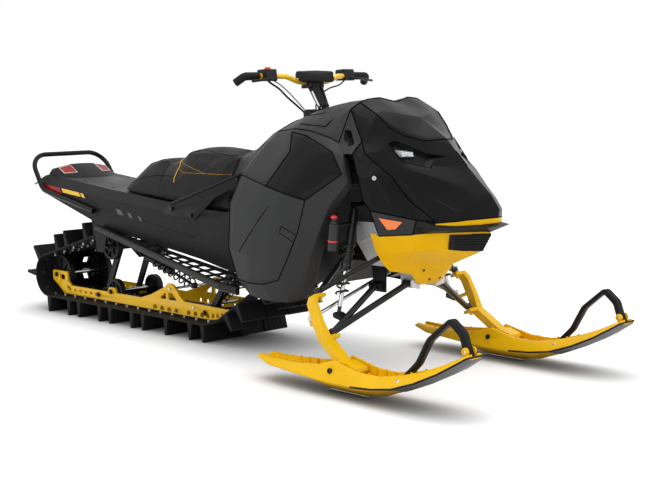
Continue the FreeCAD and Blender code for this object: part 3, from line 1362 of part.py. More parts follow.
nodes = {
    "track": make_track, "slide_rails": make_slide_rails, "track_wheels": make_track_wheels,
    "track_shafts": make_track_shafts, "drive_axle": make_drive_axle, "front_arm": make_front_arm,
    "rear_arm": make_rear_arm, "track_shocks": make_track_shocks, "tunnel": make_tunnel,
    "running_boards": make_running_boards, "rear_bumper": make_rear_bumper, "snow_flap": make_snow_flap,
    "tail_lamp": make_tail_lamp, "tail_lens": make_tail_lens, "seat": make_seat, "fuel_tank": make_fuel_tank,
    "console": make_console, "gauge": make_gauge, "hood": make_hood, "windshield": make_windshield,
    "lamp_bezels": make_lamp_bezels, "vent_panels": make_vent_panels, "nose_strip": make_nose_strip,
    "tunnel_braces": make_tunnel_braces, "slide_shoes": make_slide_shoes,
    "shock_reservoirs": make_shock_reservoirs,
    "headlamps": make_headlamps, "side_panels": make_side_panels, "access_panels": make_access_panels,
    "lower_doors": make_lower_doors, "cheek_panels": make_cheek_panels, "reflector_pods": make_reflector_pods,
    "reflectors": make_reflectors, "belly_pan": make_belly_pan, "grille": make_grille,
    "front_bumper": make_front_bumper, "bulkhead": make_bulkhead, "arm_mounts": make_arm_mounts,
    "upper_frame": make_upper_frame, "engine": make_engine, "lower_arms": make_lower_arms,
    "upper_arms": make_upper_arms, "front_shocks": make_front_shocks, "front_springs": make_front_springs,
    "steering_crank": make_steering_crank, "steering_post": make_steering_post,
    "handlebar": make_handlebar, "grips": make_grips,
    "bar_pad": make_bar_pad, "hand_controls": make_hand_controls}
paired = {"spindle": make_spindles, "ski": make_skis, "ski_loop": make_ski_loops,
          "ski_runner": make_ski_runners, "tie_rod": make_tie_rods}


def save(name, solids):
    shape = solids[0] if len(solids) == 1 else Part.makeCompound(solids)
    shape.translate(Vector(origin_shift, 0, 0))
    shape.exportStep("parts/" + name + ".step")
    print(name, len(shape.Solids), round(shape.Volume / 1e6, 3))


if __name__ == "__main__":
    os.makedirs("parts", exist_ok=True)
    print("belt loop", round(loop_length, 1), "row pitch", round(row_pitch, 2))
    for name, make in nodes.items():
        save(name, make())
    for name, make in paired.items():
        left_piece, right_piece = make()
        save(name + "_left", [left_piece])
        save(name + "_right", [right_piece])
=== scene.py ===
import bpy
import bmesh
import json
import math
from contextlib import contextmanager
from mathutils import Matrix, Vector
from mathutils.bvhtree import BVHTree

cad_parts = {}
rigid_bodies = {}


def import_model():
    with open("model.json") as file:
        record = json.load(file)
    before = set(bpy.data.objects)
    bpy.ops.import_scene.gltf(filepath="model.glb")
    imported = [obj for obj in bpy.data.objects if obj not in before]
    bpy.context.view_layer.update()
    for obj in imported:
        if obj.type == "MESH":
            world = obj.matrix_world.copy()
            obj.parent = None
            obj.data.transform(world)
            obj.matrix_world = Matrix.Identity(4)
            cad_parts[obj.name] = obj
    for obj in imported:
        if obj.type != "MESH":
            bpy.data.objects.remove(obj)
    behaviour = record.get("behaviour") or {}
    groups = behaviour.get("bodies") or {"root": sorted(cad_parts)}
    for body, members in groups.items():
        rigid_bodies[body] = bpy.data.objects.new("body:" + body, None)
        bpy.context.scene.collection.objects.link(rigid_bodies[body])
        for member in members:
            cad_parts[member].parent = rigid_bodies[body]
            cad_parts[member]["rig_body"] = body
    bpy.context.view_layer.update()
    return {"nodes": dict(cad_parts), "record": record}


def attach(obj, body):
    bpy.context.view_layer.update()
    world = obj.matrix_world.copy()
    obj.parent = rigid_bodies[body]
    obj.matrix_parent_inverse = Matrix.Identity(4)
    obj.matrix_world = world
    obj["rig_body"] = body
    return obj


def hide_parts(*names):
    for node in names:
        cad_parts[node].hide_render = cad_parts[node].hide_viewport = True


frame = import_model()
nodes = frame["nodes"]
scene = bpy.context.scene
slotOf = {part["node"]: part["material_slot"] for part in frame["record"]["subparts"]}
originShift = 41.5  # millimetres from the frame's origin back to the drawing's zero
outward, inward, upward = Vector((0, 1, 0)), Vector((0, -1, 0)), Vector((0, 0, 1))  # on the left side
print("frame loaded", len(nodes), "nodes")


def at(x, y, z):
    # a place of the drawing, in millimetres, as metres in the frame
    return Vector((x + originShift, y, z)) / 1000.0


# Colours are linear. Grain, hide and ribs are scales of a relief, bump is its strength, vary the mottle's
finishes = {
    "track_rubber": dict(color=(0.013, 0.013, 0.014), spec=0.135, rough=0.62, grain=700.0, bump=0.3,
                         vary=0.5),
    "rail_yellow": dict(color=(0.87, 0.5, 0.002), spec=0.188, rough=0.34, coat=0.25, vary=0.12, wear=0.35),
    "wheel_black": dict(color=(0.009, 0.009, 0.01), spec=0.165, rough=0.45, grain=700.0, bump=0.1,
                        vary=0.3),
    "steel": dict(color=(0.55, 0.55, 0.56), rough=0.26, metal=1.0, grain=900.0, bump=0.04, vary=0.12),
    "frame_black": dict(color=(0.005, 0.005, 0.0055), spec=0.15, rough=0.36, coat=0.05, vary=0.3, wear=0.3),
    "tube_black": dict(color=(0.004, 0.004, 0.0045), spec=0.15, rough=0.3, coat=0.06, vary=0.3, wear=0.2),
    "shock_black": dict(color=(0.011, 0.011, 0.012), spec=0.225, rough=0.3, coat=0.3, vary=0.3, wear=0.2),
    "tunnel_black": dict(color=(0.007, 0.007, 0.0077), spec=0.15, rough=0.42, grain=500.0, bump=0.05,
                         vary=0.3, wear=0.25),
    "rubber_black": dict(color=(0.01, 0.01, 0.01), spec=0.15, rough=0.6, grain=700.0, bump=0.15, vary=0.4),
    "trim_black": dict(color=(0.009, 0.009, 0.01), spec=0.15, rough=0.4, grain=600.0, bump=0.08, vary=0.3),
    "lens_red": dict(color=(0.3, 0.006, 0.004), spec=0.188, rough=0.16, coat=0.15, ribs=260.0),
    "seat_cover": dict(color=(0.009, 0.009, 0.0098), spec=0.15, rough=0.5, hide=330.0, bump=0.45,
                       vary=0.35),
    "tank_black": dict(color=(0.012, 0.012, 0.013), spec=0.15, rough=0.42, grain=600.0, bump=0.12,
                       vary=0.3),
    "body_charcoal": dict(color=(0.026, 0.0265, 0.0278), spec=0.15, rough=0.47, grain=750.0, bump=0.16,
                          vary=0.22),
    "hood_black": dict(color=(0.0035, 0.0035, 0.004), spec=0.12, rough=0.32, grain=800.0, bump=0.05,
                       vary=0.25),
    "pod_grey": dict(color=(0.034, 0.034, 0.036), spec=0.15, rough=0.5, grain=650.0, bump=0.12, vary=0.25),
    "lamp_glass": dict(color=(0.62, 0.65, 0.7), rough=0.06, coat=0.9, ribs=190.0),
    "lens_orange": dict(color=(0.95, 0.2, 0.006), rough=0.12, coat=0.6, ribs=300.0),
    "pan_yellow": dict(color=(0.87, 0.485, 0.002), spec=0.15, rough=0.4, grain=500.0, bump=0.06, vary=0.1),
    "bulkhead_silver": dict(color=(0.66, 0.67, 0.69), rough=0.5, metal=0.12, grain=320.0, bump=0.25,
                            vary=0.2),
    "engine_grey": dict(color=(0.07, 0.07, 0.075), rough=0.55, metal=0.4, grain=300.0, bump=0.3, vary=0.4),
    "arm_black": dict(color=(0.008, 0.008, 0.009), spec=0.225, rough=0.32, coat=0.2, vary=0.3, wear=0.3),
    "spring_steel": dict(color=(0.012, 0.012, 0.013), spec=0.225, rough=0.3, coat=0.3, vary=0.3, wear=0.35),
    "bar_yellow": dict(color=(0.88, 0.51, 0.003), rough=0.3, coat=0.3, vary=0.1, wear=0.2),
    "grip_rubber": dict(color=(0.009, 0.009, 0.009), spec=0.15, rough=0.6, grain=800.0, bump=0.35,
                        vary=0.4),
    "pad_black": dict(color=(0.012, 0.012, 0.013), spec=0.15, rough=0.55, hide=520.0, bump=0.4, vary=0.3),
    "control_black": dict(color=(0.009, 0.009, 0.01), spec=0.188, rough=0.4, grain=600.0, bump=0.1,
                          vary=0.3),
    "spindle_yellow": dict(color=(0.82, 0.48, 0.002), spec=0.188, rough=0.36, coat=0.2, grain=260.0,
                           bump=0.1, vary=0.12, wear=0.25),
    "ski_yellow": dict(color=(0.8, 0.46, 0.002), spec=0.188, rough=0.42, grain=400.0, bump=0.06, vary=0.1),
    "loop_black": dict(color=(0.006, 0.006, 0.006), spec=0.15, rough=0.5, grain=700.0, bump=0.15, vary=0.4),
    # painted shade: near black with almost no gloss, laid in panel gaps, grooves and seat seams, where shade
    # falls
    "paintedRecessShade": dict(color=(0.0015, 0.0015, 0.0015), spec=0.038, rough=0.75),
    "stitchYellow": dict(color=(0.8, 0.42, 0.01), rough=0.7, grain=900.0, bump=0.3),
    "signalRed": dict(color=(0.75, 0.012, 0.008), rough=0.28, coat=0.4, vary=0.1),
    "boltSteel": dict(color=(0.62, 0.62, 0.63), rough=0.2, metal=1.0, grain=500.0, bump=0.05),
    "boltBlack": dict(color=(0.012, 0.012, 0.013), rough=0.35, metal=0.3),
    "soleGrey": dict(color=(0.1, 0.1, 0.105), spec=0.225, rough=0.45, grain=500.0, bump=0.08, vary=0.25),
    "frameWhite": dict(color=(0.58, 0.52, 0.47), rough=0.3, coat=0.3),
    "cableBlack": dict(color=(0.008, 0.008, 0.008), spec=0.188, rough=0.5, grain=900.0, bump=0.1),
}
usualLook = {"metal": 0.0, "spec": 0.5, "coat": 0.0, "bump": 0.5}
coatRoughness = 0.12
grainDetail = 2.0
reliefDepth = {"grain": 0.0006, "hide": 0.0008, "ribs": 0.001}
hideWrinkles = {"scale": 26.0, "detail": 4.0, "share": 3.0}
mottleLook = {"scale": 7.0, "detail": 5.0, "range": (0.3, 0.7), "spread": 0.5, "gloss": 0.14}
wearLook = {"stretch": (14.0, 60.0, 60.0), "scale": 3.0, "detail": 6.0, "range": (0.66, 0.76),
            "bare": (0.32, 0.32, 0.33, 1.0)}


def feed(tree, node, inputs):
    # an input takes a value, or a link from a socket or from a node's first output
    for key, value in inputs.items():
        if isinstance(value, bpy.types.Node):
            value = value.outputs[0]
        if isinstance(value, bpy.types.NodeSocket):
            tree.links.new(value, node.inputs[key])
        else:
            node.inputs[key].default_value = value


def addNode(tree, kind, inputs, **settings):
    # a node's settings come first, because they decide which inputs it has
    node = tree.nodes.new(kind)
    for key, value in settings.items():
        setattr(node, key, value)
    feed(tree, node, inputs)
    return node


def addMath(tree, operation, *values):
    return addNode(tree, "ShaderNodeMath", dict(enumerate(values)), operation=operation)


def addGroup(tree, group, inputs):
    return addNode(tree, "ShaderNodeGroup", inputs, node_tree=group)


def newGroup(name, kind, inputs, outputs):
    # a node group with its named inputs and outputs
    group = bpy.data.node_groups.new(name, kind)
    for direction, sockets in (("INPUT", inputs), ("OUTPUT", outputs)):
        for label, socketType in sockets.items():
            group.interface.new_socket(label, in_out=direction, socket_type="NodeSocket" + socketType)
    return group, group.nodes.new("NodeGroupInput").outputs, group.nodes.new("NodeGroupOutput")


def objectPlace(tree):
    return tree.nodes.new("ShaderNodeTexCoord").outputs["Object"]


def makeMottleGroup(look):
    # broad changes of shade and gloss, as moulded and painted parts have
    group, given, outputs = newGroup("mottle", "ShaderNodeTree",
                                     {"Color": "Color", "Roughness": "Float", "Vary": "Float"},
                                     {"Color": "Color", "Roughness": "Float"})
    broad = addNode(group, "ShaderNodeTexNoise",
                    {"Vector": objectPlace(group), "Scale": look["scale"], "Detail": look["detail"]})
    low, high = look["range"]
    change = addNode(group, "ShaderNodeMapRange", {"Value": broad, "From Min": low, "From Max": high,
                                                   "To Min": -look["spread"], "To Max": look["spread"]})
    shade = addMath(group, "MULTIPLY_ADD", change, given["Vary"], 1.0)
    tint = addNode(group, "ShaderNodeVectorMath", {0: given["Color"], "Scale": shade}, operation="SCALE")
    gloss = addMath(group, "MULTIPLY_ADD", change, look["gloss"], given["Roughness"])
    feed(group, outputs, {"Color": tint, "Roughness": gloss})
    return group


def makeWearGroup(look):
    # paint rubbed off in short streaks, mostly along the piece
    group, given, outputs = newGroup("rubbedPaint", "ShaderNodeTree",
                                     {"Color": "Color", "Amount": "Float"}, {"Color": "Color"})
    stretch = addNode(group, "ShaderNodeMapping", {"Vector": objectPlace(group), "Scale": look["stretch"]})
    streak = addNode(group, "ShaderNodeTexNoise",
                     {"Vector": stretch, "Scale": look["scale"], "Detail": look["detail"]})
    low, high = look["range"]
    mask = addNode(group, "ShaderNodeMapRange", {"Value": streak, "From Min": low, "From Max": high})
    share = addMath(group, "MULTIPLY", mask, given["Amount"])
    mix = addNode(group, "ShaderNodeMix", {0: share, 6: given["Color"], 7: look["bare"]}, data_type="RGBA")
    feed(group, outputs, {"Color": mix.outputs[2]})
    return group


def grainHeight(tree, place, scale):
    # the fine texture of a mould or a casting
    return addNode(tree, "ShaderNodeTexNoise", {"Vector": place, "Scale": scale, "Detail": grainDetail})


def hideHeight(tree, place, scale):
    # pebbled vinyl: small cells with soft wrinkles over them
    cells = addNode(tree, "ShaderNodeTexVoronoi", {"Vector": place, "Scale": scale}, feature="SMOOTH_F1")
    creases = addNode(tree, "ShaderNodeTexNoise",
                      {"Vector": place, "Scale": hideWrinkles["scale"], "Detail": hideWrinkles["detail"]})
    return addMath(tree, "MULTIPLY_ADD", creases, hideWrinkles["share"], cells)


def ribsHeight(tree, place, scale):
    # upright prisms pressed into a lens
    return addNode(tree, "ShaderNodeTexWave", {"Vector": place, "Scale": scale, "Distortion": 0.0},
                   bands_direction="Y").outputs["Fac"]


def makeReliefGroup(name, depth, heightOf):
    # a height over the surface, turned into a normal
    group, given, outputs = newGroup(name, "ShaderNodeTree", {"Scale": "Float", "Strength": "Float"},
                                     {"Normal": "Vector"})
    bump = addNode(group, "ShaderNodeBump", {"Height": heightOf(group, objectPlace(group), given["Scale"]),
                                             "Strength": given["Strength"], "Distance": depth})
    feed(group, outputs, {"Normal": bump})
    return group


mottleGroup = makeMottleGroup(mottleLook)
wearGroup = makeWearGroup(wearLook)
reliefGroups = {"grain": makeReliefGroup("mouldedGrain", reliefDepth["grain"], grainHeight),
                "hide": makeReliefGroup("vinylHide", reliefDepth["hide"], hideHeight),
                "ribs": makeReliefGroup("lensRibs", reliefDepth["ribs"], ribsHeight)}


def makeFinish(name, ownLook):
    look = {**usualLook, **ownLook}
    material = bpy.data.materials.new(name)
    material.use_nodes = True
    tree = material.node_tree
    shader = tree.nodes["Principled BSDF"]
    color = (*look["color"], 1.0)
    feed(tree, shader, {"Base Color": color, "Roughness": look["rough"], "Metallic": look["metal"],
                        "Specular IOR Level": look["spec"], "Coat Weight": look["coat"],
                        "Coat Roughness": coatRoughness})
    if "vary" in look:
        mottle = addGroup(tree, mottleGroup,
                          {"Color": color, "Roughness": look["rough"], "Vary": look["vary"]})
        shade = mottle
        if "wear" in look:
            shade = addGroup(tree, wearGroup, {"Color": mottle, "Amount": look["wear"]})
        feed(tree, shader, {"Base Color": shade, "Roughness": mottle.outputs["Roughness"]})
    for key, group in reliefGroups.items():
        if key in look:
            relief = addGroup(tree, group, {"Scale": look[key], "Strength": look["bump"]})
            feed(tree, shader, {"Normal": relief})
    return material


materials = {name: makeFinish(name, look) for name, look in finishes.items()}
print("finishes made", len(materials))


def setMaterial(obj, name):
    obj.data.materials.clear()
    obj.data.materials.append(materials[name])


def bodyOf(node):
    return nodes[node]["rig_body"]


@contextmanager
def editing(mesh):
    # the mesh opened for edits and written back
    build = bmesh.new()
    build.from_mesh(mesh)
    yield build
    build.to_mesh(mesh)
    build.free()


def newObject(name, data):
    obj = bpy.data.objects.new(name, data)
    scene.collection.objects.link(obj)
    return obj


def objectFrom(build, name):
    # a new object from an open mesh, which is closed
    mesh = bpy.data.meshes.new(name)
    build.to_mesh(mesh)
    build.free()
    return newObject(name, mesh)


def meshObject(name, points, edges=(), faces=()):
    mesh = bpy.data.meshes.new(name)
    mesh.from_pydata([tuple(point) for point in points], list(edges), list(faces))
    return newObject(name, mesh)


mergeDistance = 0.00002
flatAngle = math.radians(0.6)


def copyNode(name, newName, flat=True):
    # the CAD mesh is loose triangles, so the copy is merged before anything else
    mesh = nodes[name].data.copy()
    with editing(mesh) as build:
        bmesh.ops.remove_doubles(build, verts=build.verts, dist=mergeDistance)
        if flat:
            bmesh.ops.dissolve_limit(build, angle_limit=flatAngle, verts=build.verts, edges=build.edges,
                                     delimit={"NORMAL"})
    return newObject(newName, mesh)


def finishPiece(obj, body, slotName, finish=None, node=None):
    # ties a finished piece to its body and its finish
    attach(obj, body)
    if node:
        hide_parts(node)
    setMaterial(obj, finish or slotName)
    return obj


def evaluatedMesh(obj):
    graph = bpy.context.evaluated_depsgraph_get()
    return bpy.data.meshes.new_from_object(obj.evaluated_get(graph), depsgraph=graph)


def bakeModifiers(obj):
    # the modifiers' result becomes the object's plain mesh
    plain = evaluatedMesh(obj)
    obj.modifiers.clear()
    obj.data = plain


def subdivide(obj, levels):
    surface = obj.modifiers.new("surface", "SUBSURF")
    surface.levels = surface.render_levels = levels
    bakeModifiers(obj)


def smoothAll(obj):
    for polygon in obj.data.polygons:
        polygon.use_smooth = True


def roundEdges(obj, width, angle, segments=2):
    # a live bevel on every edge sharper than the angle
    smoothAll(obj)
    bevel = obj.modifiers.new("edges", "BEVEL")
    bevel.width = width
    bevel.segments = segments
    bevel.limit_method = "ANGLE"
    bevel.angle_limit = math.radians(angle)
    bevel.harden_normals = True


def smoothFaces(obj, angle):
    # soft shading across faces that meet at less than the angle
    limit = math.radians(angle)
    with editing(obj.data) as build:
        for face in build.faces:
            face.smooth = True
        for edge in build.edges:
            edge.smooth = edge.calc_face_angle(math.pi) < limit


def faceOutward(obj):
    with editing(obj.data) as build:
        bmesh.ops.recalc_face_normals(build, faces=build.faces)


def joinObjects(objects, name):
    # one mesh from several objects at the origin
    build = bmesh.new()
    for obj in objects:
        build.from_mesh(obj.data)
        bpy.data.objects.remove(obj)
    return objectFrom(build, name)


def surfaceOf(obj):
    build = bmesh.new()
    build.from_mesh(obj.data)
    tree = BVHTree.FromBMesh(build)
    build.free()
    return tree


def nodeSurface(node):
    copy = copyNode(node, "surface")
    tree = surfaceOf(copy)
    bpy.data.objects.remove(copy)
    return tree


castReach = 0.3
noseReach = 1700  # millimetres, ahead of the whole machine


def ontoSurface(tree, points, direction, lift=0.0):
    # drops each point along the direction onto the surface
    result = []
    for point in points:
        hit, normal, _, _ = tree.ray_cast(point - direction * castReach, direction)
        if hit:
            result.append(hit + normal * lift)
    return result


def ontoFront(tree, y, z, lift=0.0):
    # the place on a piece's front face at this width and height, and the face's direction
    hit, normal, _, _ = tree.ray_cast(at(noseReach, y, z), Vector((-1, 0, 0)))
    return (hit + normal * lift, normal) if hit else None


def between(points, step):
    # even points along straight runs
    result = []
    for start, end in zip(points, points[1:]):
        count = max(1, round((end - start).length / step))
        result += [start.lerp(end, k / count) for k in range(count)]
    return result + [points[-1]]


def otherSide(point):
    return Vector((point.x, -point.y, point.z))


def bothSides(points):
    return [points, [otherSide(point) for point in points]]


def sideLines(lines, y):
    # lines of x and z, laid at a distance from the middle on both sides
    return [side for line in lines for side in bothSides([at(x, y, z) for x, z in line])]


def mirroredPlaces(places):
    return [side for point, direction, size in places
            for side in ((point, direction, size), (otherSide(point), otherSide(direction), size))]


def runTree(obj, tree, values):
    # the tree's result becomes the object's plain mesh
    modifier = obj.modifiers.new(tree.name, "NODES")
    modifier.node_group = tree
    for item in tree.interface.items_tree:
        if item.in_out == "INPUT" and item.name in values:
            modifier[item.identifier] = values[item.name]
    bakeModifiers(obj)
    return obj


def newTree(name, sizes):
    # a geometry tree with named inputs for its sizes and its material
    return newGroup(name, "GeometryNodeTree", {"Geometry": "Geometry", **sizes, "Material": "Material"},
                    {"Geometry": "Geometry"})


def endTree(tree, geometry, given, outputs):
    realize = addNode(tree, "GeometryNodeRealizeInstances", {"Geometry": geometry})
    paint = addNode(tree, "GeometryNodeSetMaterial", {"Geometry": realize, "Material": given["Material"]})
    feed(tree, outputs, {"Geometry": paint})
    return tree


def addTube(tree, path, radius, sides):
    # a round section along a path, closed at its ends
    section = addNode(tree, "GeometryNodeCurvePrimitiveCircle", {"Radius": radius, "Resolution": sides})
    return addNode(tree, "GeometryNodeCurveToMesh",
                   {"Curve": path, "Profile Curve": section, "Fill Caps": True})


def makeScatterTree():
    # an item at every point, turned and sized by the points' own values
    tree, given, outputs = newTree("scatterItems", {"Item": "Object"})
    turn, size = (addNode(tree, "GeometryNodeInputNamedAttribute", {"Name": name}, data_type="FLOAT_VECTOR")
                  for name in ("turn", "size"))
    item = addNode(tree, "GeometryNodeObjectInfo", {"Object": given["Item"]})
    rotation = addNode(tree, "FunctionNodeEulerToRotation", {"Euler": turn})
    place = addNode(tree, "GeometryNodeInstanceOnPoints",
                    {"Points": given["Geometry"], "Instance": item.outputs["Geometry"],
                     "Rotation": rotation, "Scale": size})
    return endTree(tree, place, given, outputs)


def makeSweepTree(name, curved):
    # a round section along every line of the base mesh
    tree, given, outputs = newTree(name, {"Radius": "Float", "Sides": "Int"})
    path = addNode(tree, "GeometryNodeMeshToCurve", {"Mesh": given["Geometry"]})
    if curved:
        kind = addNode(tree, "GeometryNodeCurveSplineType", {"Curve": path}, spline_type="CATMULL_ROM")
        path = addNode(tree, "GeometryNodeResampleCurve", {"Curve": kind, "Length": curveStep},
                       mode="LENGTH")
    return endTree(tree, addTube(tree, path, given["Radius"], given["Sides"]), given, outputs)


def makeCoilTree():
    # a coil spring that rises along Z
    tree, given, outputs = newTree("coilSpring", {"Radius": "Float", "Height": "Float", "Turns": "Float",
                                                  "Wire": "Float"})
    spiral = addNode(tree, "GeometryNodeCurveSpiral",
                     {"Start Radius": given["Radius"], "End Radius": given["Radius"],
                      "Height": given["Height"], "Rotations": given["Turns"], "Resolution": coilSteps})
    return endTree(tree, addTube(tree, spiral, given["Wire"], wireSides), given, outputs)


tubeShade, coilShade = 50.0, 60.0
curveStep = 0.006
coilSteps, wireSides = 22, 10
scatterTree = makeScatterTree()
straightTree = makeSweepTree("sweepStraight", False)
curvedTree = makeSweepTree("sweepCurved", True)
coilTree = makeCoilTree()


def sweepPaths(name, paths, radius, finish, sides=8, curved=False):
    # each path is a list of points in the frame
    points, edges = [], []
    for path in paths:
        start = len(points)
        points += path
        edges += [(k, k + 1) for k in range(start, len(points) - 1)]
    obj = meshObject(name, points, edges)
    runTree(obj, curvedTree if curved else straightTree,
            {"Radius": radius, "Sides": sides, "Material": materials[finish]})
    smoothFaces(obj, tubeShade)
    return obj


def sweptPiece(name, paths, radius, slotName, finish=None, body="chassis", sides=8, curved=False):
    obj = sweepPaths(name, paths, radius, finish or slotName, sides, curved)
    return finishPiece(obj, body, slotName, finish)


def scatteredPiece(name, item, places, slotName, finish=None, body="chassis"):
    # places hold a point, a direction for the item's Z or its turn, and a size
    obj = meshObject(name, [place[0] for place in places])
    turn = obj.data.attributes.new("turn", "FLOAT_VECTOR", "POINT")
    size = obj.data.attributes.new("size", "FLOAT_VECTOR", "POINT")
    for k, (_, direction, scale) in enumerate(places):
        if isinstance(direction, Vector):
            direction = direction.to_track_quat("Z", "Y").to_euler()
        turn.data[k].vector = tuple(direction)
        size.data[k].vector = scale if isinstance(scale, tuple) else (scale,) * 3
    runTree(obj, scatterTree, {"Item": item, "Material": materials[finish or slotName]})
    for attribute in ("turn", "size"):
        if attribute in obj.data.attributes:
            obj.data.attributes.remove(obj.data.attributes[attribute])
    return finishPiece(obj, body, slotName, finish)


def makeHexBolt():
    # a washer and a six-sided head, one unit across: sides, radius, low, high and taper
    build = bmesh.new()
    for sides, radius, low, high, taper in ((16, 0.62, 0.0, 0.1, 1.0), (6, 0.5, 0.1, 0.42, 0.9)):
        bmesh.ops.create_cone(build, cap_ends=True, segments=sides, radius1=radius, radius2=radius * taper,
                              depth=high - low, matrix=Matrix.Translation((0, 0, (low + high) / 2)))
    return objectFrom(build, "hexBolt")


def makeRoundBolt():
    # a domed head with a sunk centre
    build = bmesh.new()
    # radius and height of each ring
    profile = ((0.5, 0.0), (0.5, 0.16), (0.44, 0.28), (0.3, 0.34), (0.24, 0.34), (0.2, 0.2))
    sides = 16
    angles = [2 * math.pi * k / sides for k in range(sides)]
    rings = [[build.verts.new((r * math.cos(angle), r * math.sin(angle), height)) for angle in angles]
             for r, height in profile]
    for low, high in zip(rings, rings[1:]):
        for k in range(sides):
            build.faces.new((low[k], low[(k + 1) % sides], high[(k + 1) % sides], high[k]))
    build.faces.new(rings[-1])
    build.faces.new(rings[0][::-1])
    return objectFrom(build, "roundBolt")


def makeBlock(low, high, taper):
    # a box from low to high whose top is drawn in
    build = bmesh.new()
    middle = [(low[0] + high[0]) / 2, (low[1] + high[1]) / 2]
    corners = []
    for z, share in ((low[2], (1.0, 1.0)), (high[2], taper)):
        for x, y in ((low[0], low[1]), (high[0], low[1]), (high[0], high[1]), (low[0], high[1])):
            corners.append(build.verts.new((middle[0] + (x - middle[0]) * share[0],
                                            middle[1] + (y - middle[1]) * share[1], z)))
    for ring in ((3, 2, 1, 0), (4, 5, 6, 7), (0, 1, 5, 4), (1, 2, 6, 5), (2, 3, 7, 6), (3, 0, 4, 7)):
        build.faces.new([corners[k] for k in ring])
    return objectFrom(build, "block")


def scatteredBlocks(name, block, places, slotName, finish=None, body="chassis"):
    # the block's low and high corners and the taper of its top
    item = makeBlock(*block)
    scatteredPiece(name, item, places, slotName, finish, body)
    bpy.data.objects.remove(item)


hexBolt = makeHexBolt()
roundBolt = makeRoundBolt()
print("trees ready")

for name, obj in nodes.items():
    setMaterial(obj, slotOf[name])

panelLook = {"join": 35.0, "shape": 80.0, "soft": 3.0, "hard": 11.0, "rim": 60.0, "levels": 2, "shade": 9.0,
             "edge": 0.0022}
panelNames = ("hood", "side_panels", "access_panels", "lower_doors", "cheek_panels", "console", "windshield",
              "belly_pan", "front_bumper", "reflector_pods", "vent_panels", "nose_strip", "fuel_tank")
edgeWidths = {"tail_lamp": 0.004, "gauge": 0.002, "bulkhead": 0.002, "snow_flap": 0.0015,
              "tunnel_braces": 0.0012, "hand_controls": 0.0015, "steering_post": 0.0012,
              "slide_rails": 0.001}
sharpAngle = 28.0


def mouldedPiece(node, look):
    # a panel whose faces curve gently between its creases, with its rim where the CAD has it
    obj = copyNode(node, node + "Skin", flat=False)
    soft, hard, rim = (math.radians(look[key]) for key in ("soft", "hard", "rim"))
    with editing(obj.data) as build:
        bmesh.ops.join_triangles(build, faces=build.faces, angle_face_threshold=math.radians(look["join"]),
                                 angle_shape_threshold=math.radians(look["shape"]))
        edgeCrease = build.edges.layers.float.new("crease_edge")
        vertCrease = build.verts.layers.float.new("crease_vert")
        for edge in build.edges:
            angle = edge.calc_face_angle(math.pi)
            edge[edgeCrease] = min(1.0, max(0.0, (angle - soft) / (hard - soft)))
            if angle > rim:
                edge.verts[0][vertCrease] = edge.verts[1][vertCrease] = 1.0
        for face in build.faces:
            face.smooth = True
    subdivide(obj, look["levels"])
    roundEdges(obj, look["edge"], look["shade"])
    return finishPiece(obj, bodyOf(node), slotOf[node], node=node)


def bevelledPiece(node, width, segments=2):
    # a copy of the CAD piece with small rounded edges
    obj = copyNode(node, node + "Finish")
    roundEdges(obj, width, sharpAngle, segments)
    return finishPiece(obj, bodyOf(node), slotOf[node], node=node)


for panel in panelNames:
    mouldedPiece(panel, panelLook)
for piece, width in edgeWidths.items():
    bevelledPiece(piece, width)
print("panels finished")

# Painted shade in the gap round each panel, and the frames of the tail lenses
rims = {
    "panelSeams": {"nodes": ("access_panels", "lower_doors", "cheek_panels", "vent_panels", "windshield",
                             "reflector_pods", "hood", "console"),
                   "radius": 0.0021, "sides": 6, "angle": 55.0, "slot": "trim_black", "finish": "paintedRecessShade"},
    "tailLensFrames": {"nodes": ("tail_lens",), "radius": 0.0017, "sides": 8, "angle": 50.0,
                       "slot": "lens_red", "finish": "frameWhite"},
}
shortestRim = 0.006


def makeRims(name):
    look = rims[name]
    paths = []
    for node in look["nodes"]:
        copy = copyNode(node, "rim")
        with editing(copy.data) as build:
            paths += [[edge.verts[0].co.copy(), edge.verts[1].co.copy()] for edge in build.edges
                      if edge.calc_face_angle(0.0) > math.radians(look["angle"])
                      and edge.calc_length() > shortestRim]
        bpy.data.objects.remove(copy)
    sweptPiece(name, paths, look["radius"], look["slot"], look["finish"], sides=look["sides"])


# near-black lines of painted shade along the gaps between panels
makeRims("panelSeams")
print("seams laid")

# Seat and bar pad
softLooks = {
    "seat": {"name": "seatCushion", "voxel": 0.0075, "inset": 0.004, "pressure": 4.0, "cap": 0.011,
             "fill": 0.7},
    "bar_pad": {"name": "barPadCover", "voxel": 0.004, "inset": 0.002, "pressure": 3.0, "cap": 0.004,
                "fill": 0.8},
}
coverCloth = {"frames": 20, "quality": 4, "heldBelow": -0.75}


def swellCover(obj, look):
    # the cover is swelled by pressure and held where its faces look down
    rest = [vertex.co.copy() for vertex in obj.data.vertices]
    held = obj.vertex_groups.new(name="held")
    held.add([vertex.index for vertex in obj.data.vertices if vertex.normal.z < coverCloth["heldBelow"]],
             1.0, "REPLACE")
    cloth = obj.modifiers.new("cover", "CLOTH")
    settings = cloth.settings
    settings.quality = coverCloth["quality"]
    settings.use_pressure = True
    settings.uniform_pressure_force = look["pressure"]
    settings.effector_weights.gravity = 0.0
    settings.vertex_group_mass = "held"
    scene.frame_start, scene.frame_end = 1, coverCloth["frames"]
    for number in range(1, coverCloth["frames"] + 1):
        scene.frame_set(number)
        bpy.context.view_layer.update()
    swelled = evaluatedMesh(obj)
    moved = [vertex.co.copy() for vertex in swelled.vertices]
    obj.modifiers.remove(cloth)
    obj.vertex_groups.clear()
    bpy.data.meshes.remove(swelled)
    for vertex, start, end in zip(obj.data.vertices, rest, moved):
        step = end - start
        if step.length > look["cap"]:
            step = step.normalized() * look["cap"]
        vertex.co = start + step
    scene.frame_set(1)


